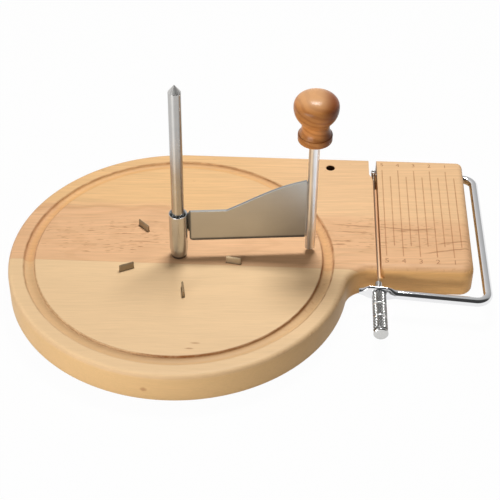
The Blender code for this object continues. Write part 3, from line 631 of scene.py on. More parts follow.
# %% Outline and plank
DISC_RADIUS = 100
BLOCK_RIGHT, BLOCK_FRONT = 173.5, -6.5
FRONT_CORNER, BACK_CORNER = 8, 4
THICKNESS = 20
EDGE_ROUND = 2.8
EDGE_FLAT = EDGE_ROUND + 0.3
FRONT_WEAR = 2.2
NECK_FILLET = 15


def board_ring(inset, height):
    """The plan outline drawn in by an inset: disc, hollow neck, and the block's two corners."""
    neck_y = BLOCK_FRONT - NECK_FILLET
    neck_x = math.sqrt((DISC_RADIUS + NECK_FILLET) ** 2 - neck_y**2)
    meeting = math.degrees(math.atan2(neck_y, neck_x))
    front_corner, back_corner = (max(radius - inset, 0.4) for radius in (FRONT_CORNER, BACK_CORNER))
    right, front, back = BLOCK_RIGHT - inset, BLOCK_FRONT + inset, DISC_RADIUS - inset
    plan = np.concatenate(
        [
            arc((0, 0), DISC_RADIUS - inset, 90, 360 + meeting, 200),
            arc((neck_x, neck_y), NECK_FILLET + inset, 180 + meeting, 90, 20)[1:],
            arc((right - front_corner, front + front_corner), front_corner, 270, 360, 14),
            arc((right - back_corner, back - back_corner), back_corner, 0, 90, 10),
        ]
    )
    return np.concatenate([plan, np.full((len(plan), 1), height)], axis=1)


def worn_ring(inset, height):
    """The same ring, its inset and drop grown by FRONT_WEAR along the block's front and the neck.

    The share s s (3 - 2 s) of the wear sets in over 40 mm along X and 13 mm along Y.
    """
    plain, worn = board_ring(inset, height), board_ring(inset * FRONT_WEAR, height * FRONT_WEAR)
    x, y = board_ring(0, 0).T[:2]
    share = np.clip((x - 84) / 40, 0, 1) * np.clip((12 - y) / 13, 0, 1)
    share = (share * share * (3 - 2 * share))[:, None]
    return plain + (worn - plain) * share


def plank():
    """Rings up the wall: a quarter circle below, a quarter circle above, flat just inside both."""
    angle = np.linspace(0, np.pi / 2, 8)
    steps = list(zip(EDGE_ROUND * (1 - np.sin(angle)), EDGE_ROUND * (1 - np.cos(angle))))
    lower = [board_ring(EDGE_FLAT, -THICKNESS)] + [board_ring(inset, -THICKNESS + rise) for inset, rise in steps]
    upper = [worn_ring(inset, -rise) for inset, rise in steps[::-1]] + [worn_ring(EDGE_FLAT, 0)]
    return skin(lower + upper, ends="flat")


print("outline of", len(board_ring(0, 0)), "points")

# %% Cutters for the groove, the slot and the holes
OVER = 1
SLOT_LEFT, SLOT_RIGHT = WIRE_X - 1.1, WIRE_X + 1.6
SLOT_EASE = 0.35
SLOT_FLOOR = -7.6
NOTCH_LEFT, NOTCH_FLOOR = 113.9, -15.95
HINGE_Y, HINGE_BORE = 90.5, 3.05
HOLE_RADIUS, HOLE_EASE = 2.75, 0.35
STUD_BORE, RECESS_RADIUS, RECESS_CEILING = 3.3, 9, -11.9
POCKET_HALF_LENGTH, POCKET_HALF_WIDTH, POCKET_FLOOR = 4.7, 0.9, -7.3
SPIKE_RING, SPIKE_START = 32.8, 62.2


def prism(outline, low, high, axis=2):
    """A closed body that carries an outline from one level to another, along Z or another axis."""
    return skin([np.insert(np.array(outline, float), axis, level, axis=1) for level in (low, high)], ends="flat")


def slab(low, high):
    """A closed box between two corners."""
    (x0, y0, z0), (x1, y1, z1) = low, high
    return prism([(x0, y0), (x1, y0), (x1, y1), (x0, y1)], z0, z1)


def groove_cutter():
    """A ring with a half-ellipse below and edges flared by 0.4 mm."""
    middle, half = (GROOVE_IN + GROOVE_OUT) / 2, (GROOVE_OUT - GROOVE_IN) / 2
    angle = np.linspace(-np.pi / 2, np.pi / 2, 15)
    bowl = np.stack([middle + (half - 0.25) * np.sin(angle), -0.35 - 1.85 * np.cos(angle)], -1)
    inner, outer = GROOVE_IN - 0.15, GROOVE_OUT + 0.15
    profile = np.concatenate([[[inner, OVER], [inner, 0]], bowl, [[outer, 0], [outer, OVER]]])
    return skin(bored(profile, 288), ends="loop")


def slot_cutter():
    """A prism along Y whose mouth is eased at the board's face."""
    left, right = SLOT_LEFT - SLOT_EASE, SLOT_RIGHT + SLOT_EASE
    shape = [(SLOT_LEFT, SLOT_FLOOR), (SLOT_RIGHT, SLOT_FLOOR), (SLOT_RIGHT, -SLOT_EASE), (right, 0)]
    shape += [(right, OVER), (left, OVER), (left, 0), (SLOT_LEFT, -SLOT_EASE)]
    return prism(shape, BLOCK_FRONT - OVER, DISC_RADIUS + OVER, axis=1)


def flare_cutter():
    """The slot's front exit, opened to the right by a sloping cut."""
    plan = [(WIRE_X, -7.5), (SLOT_RIGHT + 2.2, -7.5), (SLOT_RIGHT + 2.2, -6.5), (SLOT_RIGHT, -3.9), (WIRE_X, -3.9)]
    return prism(plan, SLOT_FLOOR + 0.01, OVER)


def notch_cutter():
    """The deep notch at the rear, funnelled into the slot."""
    right = SLOT_RIGHT - 0.01
    plan = [(NOTCH_LEFT, 101), (NOTCH_LEFT, 84), (SLOT_LEFT + 0.01, 78), (right, 78), (right, 101)]
    return prism(plan, NOTCH_FLOOR, 2 * OVER)


def drill(x, y, radius, low, high, count=48, ease=0):
    """A drill along Z with an optional eased mouth at the board's upper face."""
    profile = [(radius, low), (radius, high)]
    if ease:
        profile = [(radius, low), (radius, -ease), (radius + ease, 0), (radius + ease, high)]
    return skin(turned(profile, count) + np.array([x, y, 0]))


def bow_bore():
    """The bow's bore, drilled from the block's right side to the notch."""
    rings = turned([(HINGE_BORE, 0), (HINGE_BORE, BLOCK_RIGHT + OVER - WIRE_X)], 40)
    return skin(rings[..., [2, 0, 1]] + (WIRE_X, HINGE_Y, WIRE_Z))


def spike_pocket(number):
    """The narrow pocket of one spike, turned to point at the spindle."""
    half, wide = POCKET_HALF_LENGTH, POCKET_HALF_WIDTH
    points, faces = slab((SPIKE_RING - half, -wide, POCKET_FLOOR), (SPIKE_RING + half, wide, OVER))
    return about_z(points, SPIKE_START + 72 * number), faces


# %% Cut the board
UNDER = -THICKNESS - OVER
cutters = [groove_cutter(), slot_cutter(), flare_cutter(), notch_cutter(), bow_bore()]
cutters += [drill(HOLE_X, HOLE_Y, HOLE_RADIUS, UNDER, OVER, ease=HOLE_EASE), drill(0, 0, STUD_BORE, UNDER, OVER)]
cutters += [drill(0, 0, RECESS_RADIUS, UNDER, RECESS_CEILING, count=64)]
cutters += [spike_pocket(number) for number in range(5)]
board_mesh = carve("board", make_mesh("plank", *plank(), board_wood), cutters, sharp=28)
add_piece("board", board_mesh, "board", ["cutting_board"])

# %% [markdown]
# ## Ruler numbers
#
# Plain numbers stand at both ends of the long lines. They are scorched into the wood, so they are
# thin shapes of type laid on the face, in the brown of the ruler lines but paler and uneven.

# %% Numbers


def number_finish():
    """Scorched wood: brown that fades in clouds towards the board's own colour."""
    burn = Finish("ruler_burn")
    fade = burn.noise(burn.spot((1 / 1.3,) * 3))
    tone = burn.mix(burn.rise(fade, 0.3, 0.75), shade(164, 108, 70), shade(204, 154, 110))
    return burn.surface(Base_Color=tone, Roughness=0.6 + (fade - 0.5) * 0.2)


def type_points(word, size, x, y):
    """Points in millimetres and faces of a number with its middle at x, y, just above the board."""
    type_data = bpy.data.curves.new("number", "FONT")
    type_data.body = word
    type_data.size = size
    type_data.extrude = 0.015
    type_data.align_x, type_data.align_y = "CENTER", "CENTER"
    type_data.resolution_u = 4
    mesh = final_mesh(new_object("number", type_data))
    shape = bmesh.new()
    shape.from_mesh(mesh)
    bmesh.ops.remove_doubles(shape, verts=shape.verts, dist=0.0001)
    points = np.array([vert.co[:] for vert in shape.verts]) + (x, y, 0.035)
    faces = [[vert.index for vert in face.verts] for face in shape.faces]
    shape.free()
    bpy.data.meshes.remove(mesh)
    return points, faces


# Size of the type and middle y, for the front and the back row.
NUMBER_ROWS = ((5.6, 0.9), (4.6, 94.2))
numbers = []
for count in range(1, 6):
    number_x = RULER_START + RULER_STEP * (RULER_COUNT + 1 - 2 * count)
    numbers += [type_points(str(count), size, number_x, y) for size, y in NUMBER_ROWS]
build("ruler_numbers", gather(numbers), number_finish(), "board")

# %% [markdown]
# ## Steel and chrome
#
# Metal has hardly any colour of its own, so its look is what it mirrors. Brushed steel is covered
# with fine scratches along one direction: noise squeezed hard across the scratches changes the
# roughness and tilts the surface. Chrome keeps almost none of that, only slow clouds of wear.

# %% Metal finishes with different scratches
SCRAPER_ANGLE = 5.5
SCRAPER_TURN = (0, 0, -math.radians(SCRAPER_ANGLE))
ROD_ORBIT = 77
ROD_X = ROD_ORBIT * math.cos(math.radians(SCRAPER_ANGLE))
ROD_Y = ROD_ORBIT * math.sin(math.radians(SCRAPER_ANGLE))
HANDLE_START = -21.6
# Painted highlight and shade bands, fixed round the spindle and the rod: azimuth, sharpness, amount.
SPINDLE_REFLECTION_BANDS = ((-104, 60, 0.45), (-76, 30, -0.12), (-28, 10, -0.35))
SPINDLE_REFLECTION_BANDS += ((-160, 40, -0.2), (60, 40, 0.35), (130, 20, -0.2))
ROD_REFLECTION_BANDS = ((-118, 50, 0.28), (-98, 60, -0.14), (-150, 30, -0.3))
ROD_REFLECTION_BANDS += ((-60, 40, 0.2), (70, 30, 0.3))


def drawn_bands(x, y, bands):
    """Lengthwise painted highlight and shade bands on a drawn rod, each added to the tint.

    cos of the angle to the azimuth is x cos(a) + y sin(a) over the radius, and a power narrows it.
    """
    radius = (x * x + y * y) ** 0.5
    total = 0
    for azimuth, sharpness, amount in bands:
        angle = math.radians(azimuth)
        facing = (x * math.cos(angle) + y * math.sin(angle)) / radius
        total = facing.larger(0.001) ** sharpness * amount + total
    return total


def scratches(steel, spot, stretch):
    """Fine lines squeezed by a stretch per axis, and slow clouds of wear."""
    lines = steel.noise(steel.stretched(spot, stretch), 3, 0.65)
    return lines, steel.noise(steel.stretched(spot, (1 / 14,) * 3))


def metal(name, tint, roughness, stretch, contrast=0.12, depth=0.000004, metallic=1, **extra):
    """Scratches and clouds over one tint. extra holds what only some pieces have:

    turn of the scratches, painted highlight and shade bands round an axis, and the heights between which
    a foot darkened by painted shade ends or a paler, rougher ground tip begins.
    """
    steel = Finish(name)
    lines, cloud = scratches(steel, steel.spot(turn=extra.get("turn", (0, 0, 0))), stretch)
    change = (lines - 0.5) * contrast + (cloud - 0.5) * contrast
    dullness = roughness + (lines - 0.5) * contrast + (cloud - 0.5) * 0.5 * contrast
    height = steel.parts(steel.spot())[2]
    # Painted highlight and shade: bands fixed at azimuths round the axis.
    if "bands" in extra:
        x, y, _ = steel.parts(steel.spot(shift=(*extra.get("axis", (0, 0)), 0)))
        change = change + drawn_bands(x, y, extra["bands"])
    if "foot" in extra:
        # Painted shade: the foot is darkened where it stands just over its shadow on the board.
        change = change - 0.75 * steel.fall(height, *extra["foot"])
    if "tip" in extra:
        ground = steel.rise(height, *extra["tip"])
        change, dullness = change + ground * 0.3, dullness + ground * 0.2
    tint, bump = steel.scaled(tint, 1 + change), steel.bump(lines, depth)
    return steel.surface(Base_Color=tint, Metallic=metallic, Roughness=dullness, Normal=bump)


def blade_finish():
    """Steel brushed lengthwise, with a ground strip along the lower and the inner edge and a dull sawn rim, both
    darkened by painted shade.
    """
    steel = Finish("blade_steel")
    spot = steel.spot(turn=SCRAPER_TURN)
    lines, cloud = scratches(steel, spot, (0.05, 2, 5))
    along, aside, height = steel.parts(spot)
    ground = 1 - steel.rise(height, 12.6, 13.7) * steel.rise(along, 6.9, 7.7)
    rim = steel.fall(abs(aside), 0.5, 0.65)
    # Painted shade darkens the ground strip and the rim.
    edge_shade = (ground * 0.72).larger(rim * 0.42)
    return steel.surface(
        Base_Color=steel.scaled((0.50, 0.505, 0.49), 1 + (lines + cloud - 1) * 0.12 - edge_shade),
        Metallic=1,
        Roughness=0.34 + (lines - 0.5) * 0.12 + ground * 0.08 + rim * 0.12,
        Normal=steel.bump(lines, 0.000004),
    )


def knurl_finish():
    """Chrome, bright on the tops of the knurl, darkened in its furrows by painted shade and brightest in two turned
    rings by a painted highlight.

    The furrow mask is a function of the radius from the handle's axis.
    """
    steel = Finish("handle_chrome")
    x, y, z = steel.parts(steel.spot(shift=(WIRE_X, HANDLE_START, WIRE_Z)))
    furrow = steel.fall((x * x + z * z) ** 0.5, 3.85, 4.15)
    cloud = steel.noise(steel.spot((1.1, 1.1, 1.1)))
    ring = steel.fall(abs(y + 9.97), 0.25, 0.6) + steel.fall(abs(y + 20.43), 0.25, 0.6)
    uneven = 1 - steel.rise(0 - y, 31.3, 31.6)
    # Painted shade in the furrows of the knurl, and a painted highlight on its rings.
    change = (cloud - 0.5) * 0.3 * uneven - furrow * 0.78 * (1 - ring) * uneven
    return steel.surface(
        Base_Color=steel.scaled((0.61, 0.605, 0.59), 1 + change + ring * 0.6),
        Metallic=1,
        Roughness=0.16 + (cloud - 0.5) * 0.12 + furrow * 0.1,
        Normal=steel.bump(cloud, 0.000002),
    )


UPRIGHT, EVEN = (1.5, 1.5, 0.02), (1.5, 1.5, 1.5)
# The rod and the tube get a foot darkened by painted shade.
of_spindle = {"bands": SPINDLE_REFLECTION_BANDS, "tip": (114.6, 114.9)}
of_rod = {"turn": SCRAPER_TURN, "axis": (ROD_X, ROD_Y), "bands": ROD_REFLECTION_BANDS, "foot": (3.4, 4.1)}
spindle_steel = metal("spindle_steel", (0.505, 0.495, 0.48), 0.24, UPRIGHT, 0.25, **of_spindle)
sleeve_steel = metal("sleeve_steel", (0.575, 0.585, 0.59), 0.24, (0.3, 0.3, 5), 0.15, 0.000002, foot=(1.4, 2.6))
blade_steel = blade_finish()
rod_steel = metal("rod_steel", (0.77, 0.78, 0.80), 0.31, UPRIGHT, 0.2, **of_rod)
# The brown tint stands in for the wood that the steel mirrors: a painted reflection.
spike_steel = metal("spike_steel", (0.31, 0.235, 0.145), 0.50, (1, 1, 4), 0.3, metallic=0.8)
weld_steel = metal("weld_steel", (0.50, 0.47, 0.43), 0.42, EVEN, 0.3)
fastener_steel = metal("fastener_steel", (0.60, 0.60, 0.59), 0.36, (0.6, 0.6, 0.6), 0.2)
# The tan tint stands in for the wood that the wire mirrors in its slot: a painted reflection.
wire_steel = metal("wire_steel", (0.52, 0.42, 0.31), 0.40, (5, 0.2, 5), metallic=0.8)
screw_steel = metal("screw_steel", (0.72, 0.71, 0.69), 0.30, EVEN, 0.2)
bow_chrome = metal("bow_chrome", (0.83, 0.83, 0.84), 0.07, (0.12, 0.12, 0.12), 0.05, 0.000001)
handle_chrome = knurl_finish()

# %% [markdown]
# ## The spindle
#
# The post is drawn steel with a point ground in flats, as a pencil is sharpened by hand. A turned
# profile gives the shank. For the point, the radius is the smaller of the shank's and that of a
# twelve-sided pyramid, and where the two meet, the scallops appear by themselves. Its foot is a
# thread that the nut pulls down.

# %% Spindle with flats and thread
SPINDLE_RADIUS = 3.6
SPINDLE_TOP = 119.2
STUD_LOW, STUD_HIGH = -19.2, -9
SPINDLE_FLATS = 12
POINT_SLOPE = 0.74


def wave(turns):
    """A triangle wave between 0 and 1 that starts and ends each turn at 0."""
    return 1 - np.abs(2 * (turns - np.floor(turns)) - 1)


def thread(angle, height, outer, depth, pitch):
    """A screw thread: outer radius less a triangle wave that climbs one pitch in a turn."""
    return outer - depth * (1 - wave(height / pitch - angle / (2 * np.pi)))


def spindle_radius(angle, height):
    """Stud, shoulder, shank and the twelve flats of the point, whose radius is slope x depth / cos(a)."""
    flat = 2 * np.pi / SPINDLE_FLATS
    from_middle = (angle + flat / 2) % flat - flat / 2
    point = POINT_SLOPE * (SPINDLE_TOP + 0.26 - height) / np.cos(from_middle)
    shank = np.minimum(SPINDLE_RADIUS, point)
    stud = np.minimum(thread(angle, height, 3, 0.45, 1), 2.4 + (height - STUD_LOW))
    shank_foot = np.minimum(shank, 3.2 + (height - 0.3) * 2)
    return np.where(height < 0.29, np.where(height < STUD_HIGH, stud, 3), shank_foot)


stud_heights = np.linspace(STUD_LOW, STUD_HIGH, 92)
shank_heights = [-8.9, 0.29, 0.3, 0.42, 0.5, 2, 30, 60, 90, 112]
spindle_heights = np.concatenate([stud_heights, shank_heights, np.linspace(112.6, SPINDLE_TOP, 40)])
spindle_shape = skin(grid_rings(spindle_heights, spindle_radius, 96))
build("spindle_post", spindle_shape, spindle_steel, "spindle", ["spindle"], sharp=13)

# %% [markdown]
# ## The spikes
#
# Five small plates stand on edge round the spindle and keep the cheese from turning. Each is an
# outline with a short double edge on top, carried along the plate's width. Its first and last ring
# are drawn in a little, which rounds the corners.

# %% Spikes
SPIKE_SIDE = [(0.6, -7), (0.6, 3.5), (0.42, 3.95), (0.12, 4.5)]


def drawn_in(outline, amount):
    """Move each corner of an outline inwards along the middle of its two sides' normals."""
    before, after = outline - np.roll(outline, 1, 0), np.roll(outline, -1, 0) - outline
    before = before / np.linalg.norm(before, axis=1)[:, None]
    after = after / np.linalg.norm(after, axis=1)[:, None]
    left = np.stack([-(before + after)[:, 1], (before + after)[:, 0]], -1)
    left = left / np.linalg.norm(left, axis=1)[:, None]
    stretch = 1 / np.maximum(0.5, (left * np.stack([-before[:, 1], before[:, 0]], -1)).sum(1))
    return outline + left * (amount * stretch)[:, None]


def eased(outline, sides):
    """Rings (first, level, second) of an outline on both sides of level 0, each drawn in by an amount."""
    outline = np.asarray(outline, float)
    layers = [(-level, inward) for level, inward in sides] + list(sides[::-1])
    return np.array([np.insert(drawn_in(outline, inward), 1, level, axis=1) for level, inward in layers])


def plate(outline, half, ease, depth):
    """A flat plate round y = 0 with eased edges, from an outline in x and z that runs anticlockwise."""
    return eased(outline, [(half, ease), (half - 0.3 * depth, 0.3 * ease), (half - depth, 0)])


def spike(number):
    """A plate 8.8 wide and 1.2 thick, 4.5 above the board, on the circle of spikes."""
    outline = SPIKE_SIDE + [(-aside, height) for aside, height in SPIKE_SIDE[::-1]]
    rings = eased(outline, [(4.4, 0.12), (4.36, 0.04), (4.2, 0)])[..., [1, 0, 2]]
    points, faces = skin(rings + (SPIKE_RING, 0, 0), ends="flat")
    return about_z(points, SPIKE_START + 72 * (number - 1)), faces


for number in range(1, 6):
    name, node = f"spike_plate_{number}", f"cheese_spike_{number}"
    build(name, spike(number), spike_steel, "board", [node], sharp=30)

# %% [markdown]
# ## The scraper
#
# A tube turns on the spindle and carries the blade, and the blade carries the rod. All three are
# worked out along X and then turned together by the scraper's angle.

# %% Sleeve and blade
BLADE_INNER, BLADE_OUTER = 6.4, 73.7
BLADE_LOW, BLADE_INNER_TOP, BLADE_OUTER_TOP = 11.5, 32.7, 52.5
BLADE_SHOULDER = 28
BLADE_HALF = 0.8
SLEEVE = [(3.9, 0.3), (4.5, 0.3), (4.6, 1.2), (5.3, 6.3), (5.3, 31.3)]
SLEEVE += [(5.15, 31.5), (5, 31.5), (3.95, 30.3), (3.9, 0.31)]


def on_scraper(points, faces):
    """Points and faces turned by the scraper's angle."""
    return about_z(points, SCRAPER_ANGLE), faces


def blade_outline():
    """Side view: round lower inner corner, level shoulder, and a rising edge that bulges by b sin(pi s^1.4)."""
    lower = arc((BLADE_INNER + 2.2, BLADE_LOW + 2.2), 2.2, 180, 270, 10)
    outer = arc((BLADE_OUTER - 0.4, BLADE_LOW + 0.4), 0.4, 270, 360, 9)
    top = arc((BLADE_OUTER - 0.5, BLADE_OUTER_TOP - 0.5), 0.5, 0, 75, 8)
    along = np.linspace(0.985, 0, 30)
    rise = BLADE_INNER_TOP + (BLADE_OUTER_TOP - BLADE_INNER_TOP) * along + 2 * np.sin(np.pi * along**1.4)
    slope = np.stack([BLADE_SHOULDER + (BLADE_OUTER - BLADE_SHOULDER) * along, rise], -1)
    upper = arc((BLADE_INNER + 0.8, BLADE_INNER_TOP - 0.8), 0.8, 90, 180, 9)
    return np.concatenate([lower, outer, top, slope, upper])


sleeve = on_scraper(*skin(bored(soften(SLEEVE, 0.25, 3)[:-1], 80), ends="loop"))
build("sleeve_tube", sleeve, sleeve_steel, "scraper", ["scraper_sleeve"], sharp=24)
blade = on_scraper(*skin(plate(blade_outline(), BLADE_HALF, 0.2, 0.15), ends="flat"))
build("blade_plate", blade, blade_steel, "scraper", ["scraper_blade"], sharp=14)

# %% [markdown]
# Behind the blade's inner edge, out of the picture, a strip is welded to the blade and to the tube.
# A weld is a row of overlapping drops, so its bead is a tube whose radius swells with every drop.

# %% Bracket and weld beads
STRIP_CORNERS = (
    ((6.1, 17.5), 0.5, 180, 270, 4),
    ((14.6, 19), 2, 270, 360, 6),
    ((14.6, 28.3), 2, 0, 90, 6),
    ((6.1, 29.8), 0.5, 90, 180, 4),
)
# Beads: x, y, low and high end, radius, length of a drop.
BEADS = (
    (5.75, 2.2, 17.6, 29.7, 0.75, 1.3),
    (16.6, 1.05, 19.5, 27.8, 0.6, 1.2),
    (74, 1, 13, 51, 0.7, 1.3),
    (74, -0.55, 13, 51, 0.35, 0.9),
)
BEAD_START = math.degrees(math.atan2(0.3, -0.9))


def bead(x, y, low, high, radius, drop):
    """A closed upright tube with radius r (0.8 + 0.2 |sin|) once per drop and round ends."""
    length = high - low
    share = np.linspace(0, 1, max(12, int(length / drop * 8)))
    swell = 0.8 + 0.2 * np.abs(np.sin(np.pi * share * length / drop))
    taper = np.sqrt(np.clip(1 - np.abs(2 * share - 1) ** 12, 0.02, 1))
    rings = turned(np.stack([radius * swell * taper, low + length * share], -1), 16)
    return skin(about_z(rings, BEAD_START) + (x, y, 0))


strip = np.concatenate([arc(*corner) for corner in STRIP_CORNERS])
strip = on_scraper(*skin(plate(strip, 0.6, 0.15, 0.15) + (0, 1.7, 0), ends="flat"))
build("bracket_strip", strip, blade_steel, "scraper", ["blade_bracket"])
beads = on_scraper(*gather([bead(*run) for run in BEADS]))
build("weld_beads", beads, weld_steel, "scraper")

# %% [markdown]
# ## Rod and knob
#
# The rod ends in a small head inside the knob, so the knob turns but stays on. The knob is turned
# beech with a warm varnish: a flange, a hollow neck and a ball that is pressed flat on top.

# %% Rod
rod_profile = [(0.01, 3.5), (3, 3.5), (3, 93.7), (3.9, 93.7), (3.9, 96.1), (0.01, 96.1)]
rod_points, rod_faces = skin(turned(soften(rod_profile, 0.35, 6)))
rod = on_scraper(rod_points + (ROD_ORBIT, 0, 0), rod_faces)
build("rod_round", rod, rod_steel, "scraper", ["handle_rod"])

# %% Knob finish
KNOB_LOW = 80.6
KNOB_PALE, KNOB_LATE = shade(190, 127, 70), shade(150, 88, 42)
# The paler crown, and the deep red-brown of painted shade on the knob's far side.
KNOB_CROWN, KNOB_SHADE_BROWN = shade(202, 164, 124), shade(110, 46, 18)


def knob_finish():
    """Orange-brown wood with growth rings round a pith beside the knob, under a thin coat of varnish.

    The neck is lighter, the crown is paler and the side away from the board is darkened to deep red-brown by painted
    shade.
    """
    wood = Finish("knob_wood")
    x, y, z = wood.parts(wood.spot(shift=(ROD_X, ROD_Y, KNOB_LOW), turn=(0.15, 1.25, 0.3)))
    waves = wood.cells((x, y, z), (9, 9, 22)) * 5
    late = wood.rings(((x + 17) ** 2 + (y + 9) ** 2) ** 0.5 + waves, 3.6, -0.4)
    pores = wood.cells((x, y, z), (0.28, 0.28, 3.4), 2, 0.6)
    cloud = wood.cells((x, y, z), (8, 8, 8), 1)
    tone = wood.mix(late * 0.45, KNOB_PALE, KNOB_LATE)
    tone = wood.scaled(tone, 1 + (pores - 0.5) * 0.30 + (cloud - 0.5) * 0.22)
    aside, _, height = wood.parts(wood.spot(shift=(ROD_X, ROD_Y, 0)))
    neck = wood.rise(height, KNOB_LOW + 5, KNOB_LOW + 8) * wood.fall(height, KNOB_LOW + 12, KNOB_LOW + 16)
    tone = wood.scaled(tone, 1 + neck * 0.3)
    tone = wood.mix(wood.rise(height, KNOB_LOW + 25, KNOB_LOW + 30) * 0.55, tone, KNOB_CROWN)
    # Painted shade: the side towards +X is darkened to deep red-brown.
    tone = wood.mix(wood.rise(aside, 1, 10) * 0.8, tone, KNOB_SHADE_BROWN)
    return wood.surface(
        Base_Color=tone,
        Roughness=0.30 + (pores - 0.5) * 0.18,
        Coat_Weight=0.14,
        Coat_Roughness=0.2,
        Specular_IOR_Level=0.1,
        Normal=wood.bump(pores, 0.000004),
    )


# %% Knob shape
BALL_RADIUS, BALL_HEIGHT = 12.65, 22.2
BALL_BELOW, BALL_ABOVE = 12.5, 8
NECK_RADIUS = 7.8


def knob_profile():
    """Bore, rounded flange, a neck hollowed by a sine, and a ball: a quarter oval below and a fuller one above.

    The upper quarter is a superellipse, (r / 12.65)^2.35 + (h / 8)^2.35 = 1, which is flat on top.
    """
    flange = arc((9.7 - 1.2, 1.2), 1.2, 270, 360, 9)
    lip = arc((9.1, 3.9), 0.6, 0, 90, 6) + (0, 4.1 - 3.9)
    join = math.radians(-48)
    join_radius, join_height = BALL_RADIUS * math.cos(join), BALL_HEIGHT + BALL_BELOW * math.sin(join)
    along = np.linspace(0, 1, 26)[1:-1]
    start_radius, start_height = lip[-1]
    middle = (start_radius + join_radius) / 2
    radius = start_radius + (join_radius - start_radius) * along + (NECK_RADIUS - middle) * np.sin(np.pi * along)
    neck = np.stack([radius, start_height + (join_height - start_height) * along], -1)
    angle = np.linspace(join, np.pi / 2, 60)[:-1]
    half = np.where(angle > 0, BALL_ABOVE, BALL_BELOW)
    power = np.where(angle > 0, 2 / 2.35, 1)
    height = BALL_HEIGHT + half * np.sign(angle) * np.abs(np.sin(angle)) ** power
    ball = np.stack([BALL_RADIUS * np.cos(angle) ** power, height], -1)
    bore = [(0.01, 16.7), (5, 16.7), (5, 0.5), (5.5, 0)]
    return np.concatenate([bore, flange, lip, neck, ball, [(0.01, BALL_HEIGHT + BALL_ABOVE)]])


knob = on_scraper(*skin(turned(knob_profile(), 128) + (ROD_ORBIT, 0, KNOB_LOW)))
build("knob_turning", knob, knob_finish(), "knob", ["knob"], sharp=50)

# %% [markdown]
# ## The bow
#
# One chrome rod is bent twice and then hammered flat at its front end for the screw. So one section
# travels along one path: round on the rod, an upright oval at the eye, and smaller at the stub. Two
# drilled holes are cut afterwards, one for the wire and one for the screw.

# %% Path and sections of the bow
BOW_RADIUS = 2.75
BOW_SIDE_X = 180.4
BOW_END_X = 115.9
EYE_Y = -19.8
LEG_SPLAY = 5.8
BEND_RADIUS = 7
EYE_HIGH, EYE_THICK = 4.6, 1.5
STUB_RADIUS = 1.9
END_EASE = 0.3
# Stations along the front leg, in mm before the eye: from, to, how many.
LEG_STEPS = ((48, 11, 8), (10.5, 5, 14), (4, -5, 10), (-5.4, -11.7, 14))


def bend(corner, start, end):
    """Centre points of a round bend between two straight runs, from the first run to the second."""
    corner, start, end = (np.array(p, float) for p in (corner, start, end))
    into = (start - corner) / np.linalg.norm(start - corner)
    away = (end - corner) / np.linalg.norm(end - corner)
    half = math.acos(float(into @ away)) / 2
    centre = corner + (into + away) / np.linalg.norm(into + away) * BEND_RADIUS / math.sin(half)
    first = corner + into * BEND_RADIUS / math.tan(half) - centre
    turn_left = into[0] * away[1] - into[1] * away[0] < 0
    angle = np.linspace(0, np.pi - 2 * half, 18) * (1 if turn_left else -1)
    x = centre[0] + first[0] * np.cos(angle) - first[1] * np.sin(angle)
    y = centre[1] + first[0] * np.sin(angle) + first[1] * np.cos(angle)
    return np.stack([x, y], -1)


def bow_stations():
    """Plan points of the path, each with the half-height and half-thickness of the section."""
    back, side = (BOW_END_X, HINGE_Y), (BOW_SIDE_X, HINGE_Y)
    front, eye = np.array([BOW_SIDE_X, EYE_Y - LEG_SPLAY]), np.array([WIRE_X, EYE_Y])
    run = np.linspace(0, 1, 9)[:, None]
    first, second = bend(side, back, front), bend(front, side, eye)
    rear_run = np.array([back]) * (1 - run[:-1]) + first[:1] * run[:-1]
    side_run = first[-1:] * (1 - run[1:-1]) + second[:1] * run[1:-1]
    leg = (front - eye) / np.linalg.norm(front - eye)
    along = np.concatenate([np.linspace(*step) for step in LEG_STEPS])
    share = np.clip(np.where(along > 0, (10.5 - along) / 5.5, (11.7 + along) / 6.7), 0, 1)
    share = (1 - np.cos(np.pi * share)) / 2
    stub = STUB_RADIUS / BOW_RADIUS
    taper = np.where(along < -5, stub + (1 - stub) * share, 1)
    path = np.concatenate([rear_run, first, side_run, second, eye + leg * along[:, None]])
    plain = np.full(len(path) - len(along), BOW_RADIUS)
    sizes = [(BOW_RADIUS + (size - BOW_RADIUS) * share) * taper for size in (EYE_HIGH, EYE_THICK)]
    return path, *(np.concatenate([plain, size]) for size in sizes)


def swept(path, high, thick):
    """Carry an oval along a plan path. It stands square to the path, and the end rings are eased."""
    path = np.concatenate([path[:1], path, path[-1:]])
    step = np.gradient(path, axis=0)
    step[0], step[-1] = path[2] - path[1], path[-2] - path[-3]
    along = step / np.linalg.norm(step, axis=1)[:, None]
    side = np.stack([along[:, 1], -along[:, 0]], -1)
    angle = np.linspace(0, 2 * np.pi, 48, endpoint=False)
    high, thick = (np.concatenate([[size[0] - END_EASE], size, [size[-1] - END_EASE]]) for size in (high, thick))
    path[1] += along[0] * END_EASE
    path[-2] -= along[-1] * END_EASE
    plan = path[:, None, :] + side[:, None, :] * (thick[:, None] * np.cos(angle))[..., None]
    height = WIRE_Z + high[:, None] * np.sin(angle)[None, :]
    return np.concatenate([plan, height[..., None]], -1)


def cross_drill(y, radius, reach):
    """A drill along Y, centred on a point of the wire's line."""
    return skin(along_y(turned([(radius, -reach), (radius, reach)], 32), WIRE_X, y, WIRE_Z))


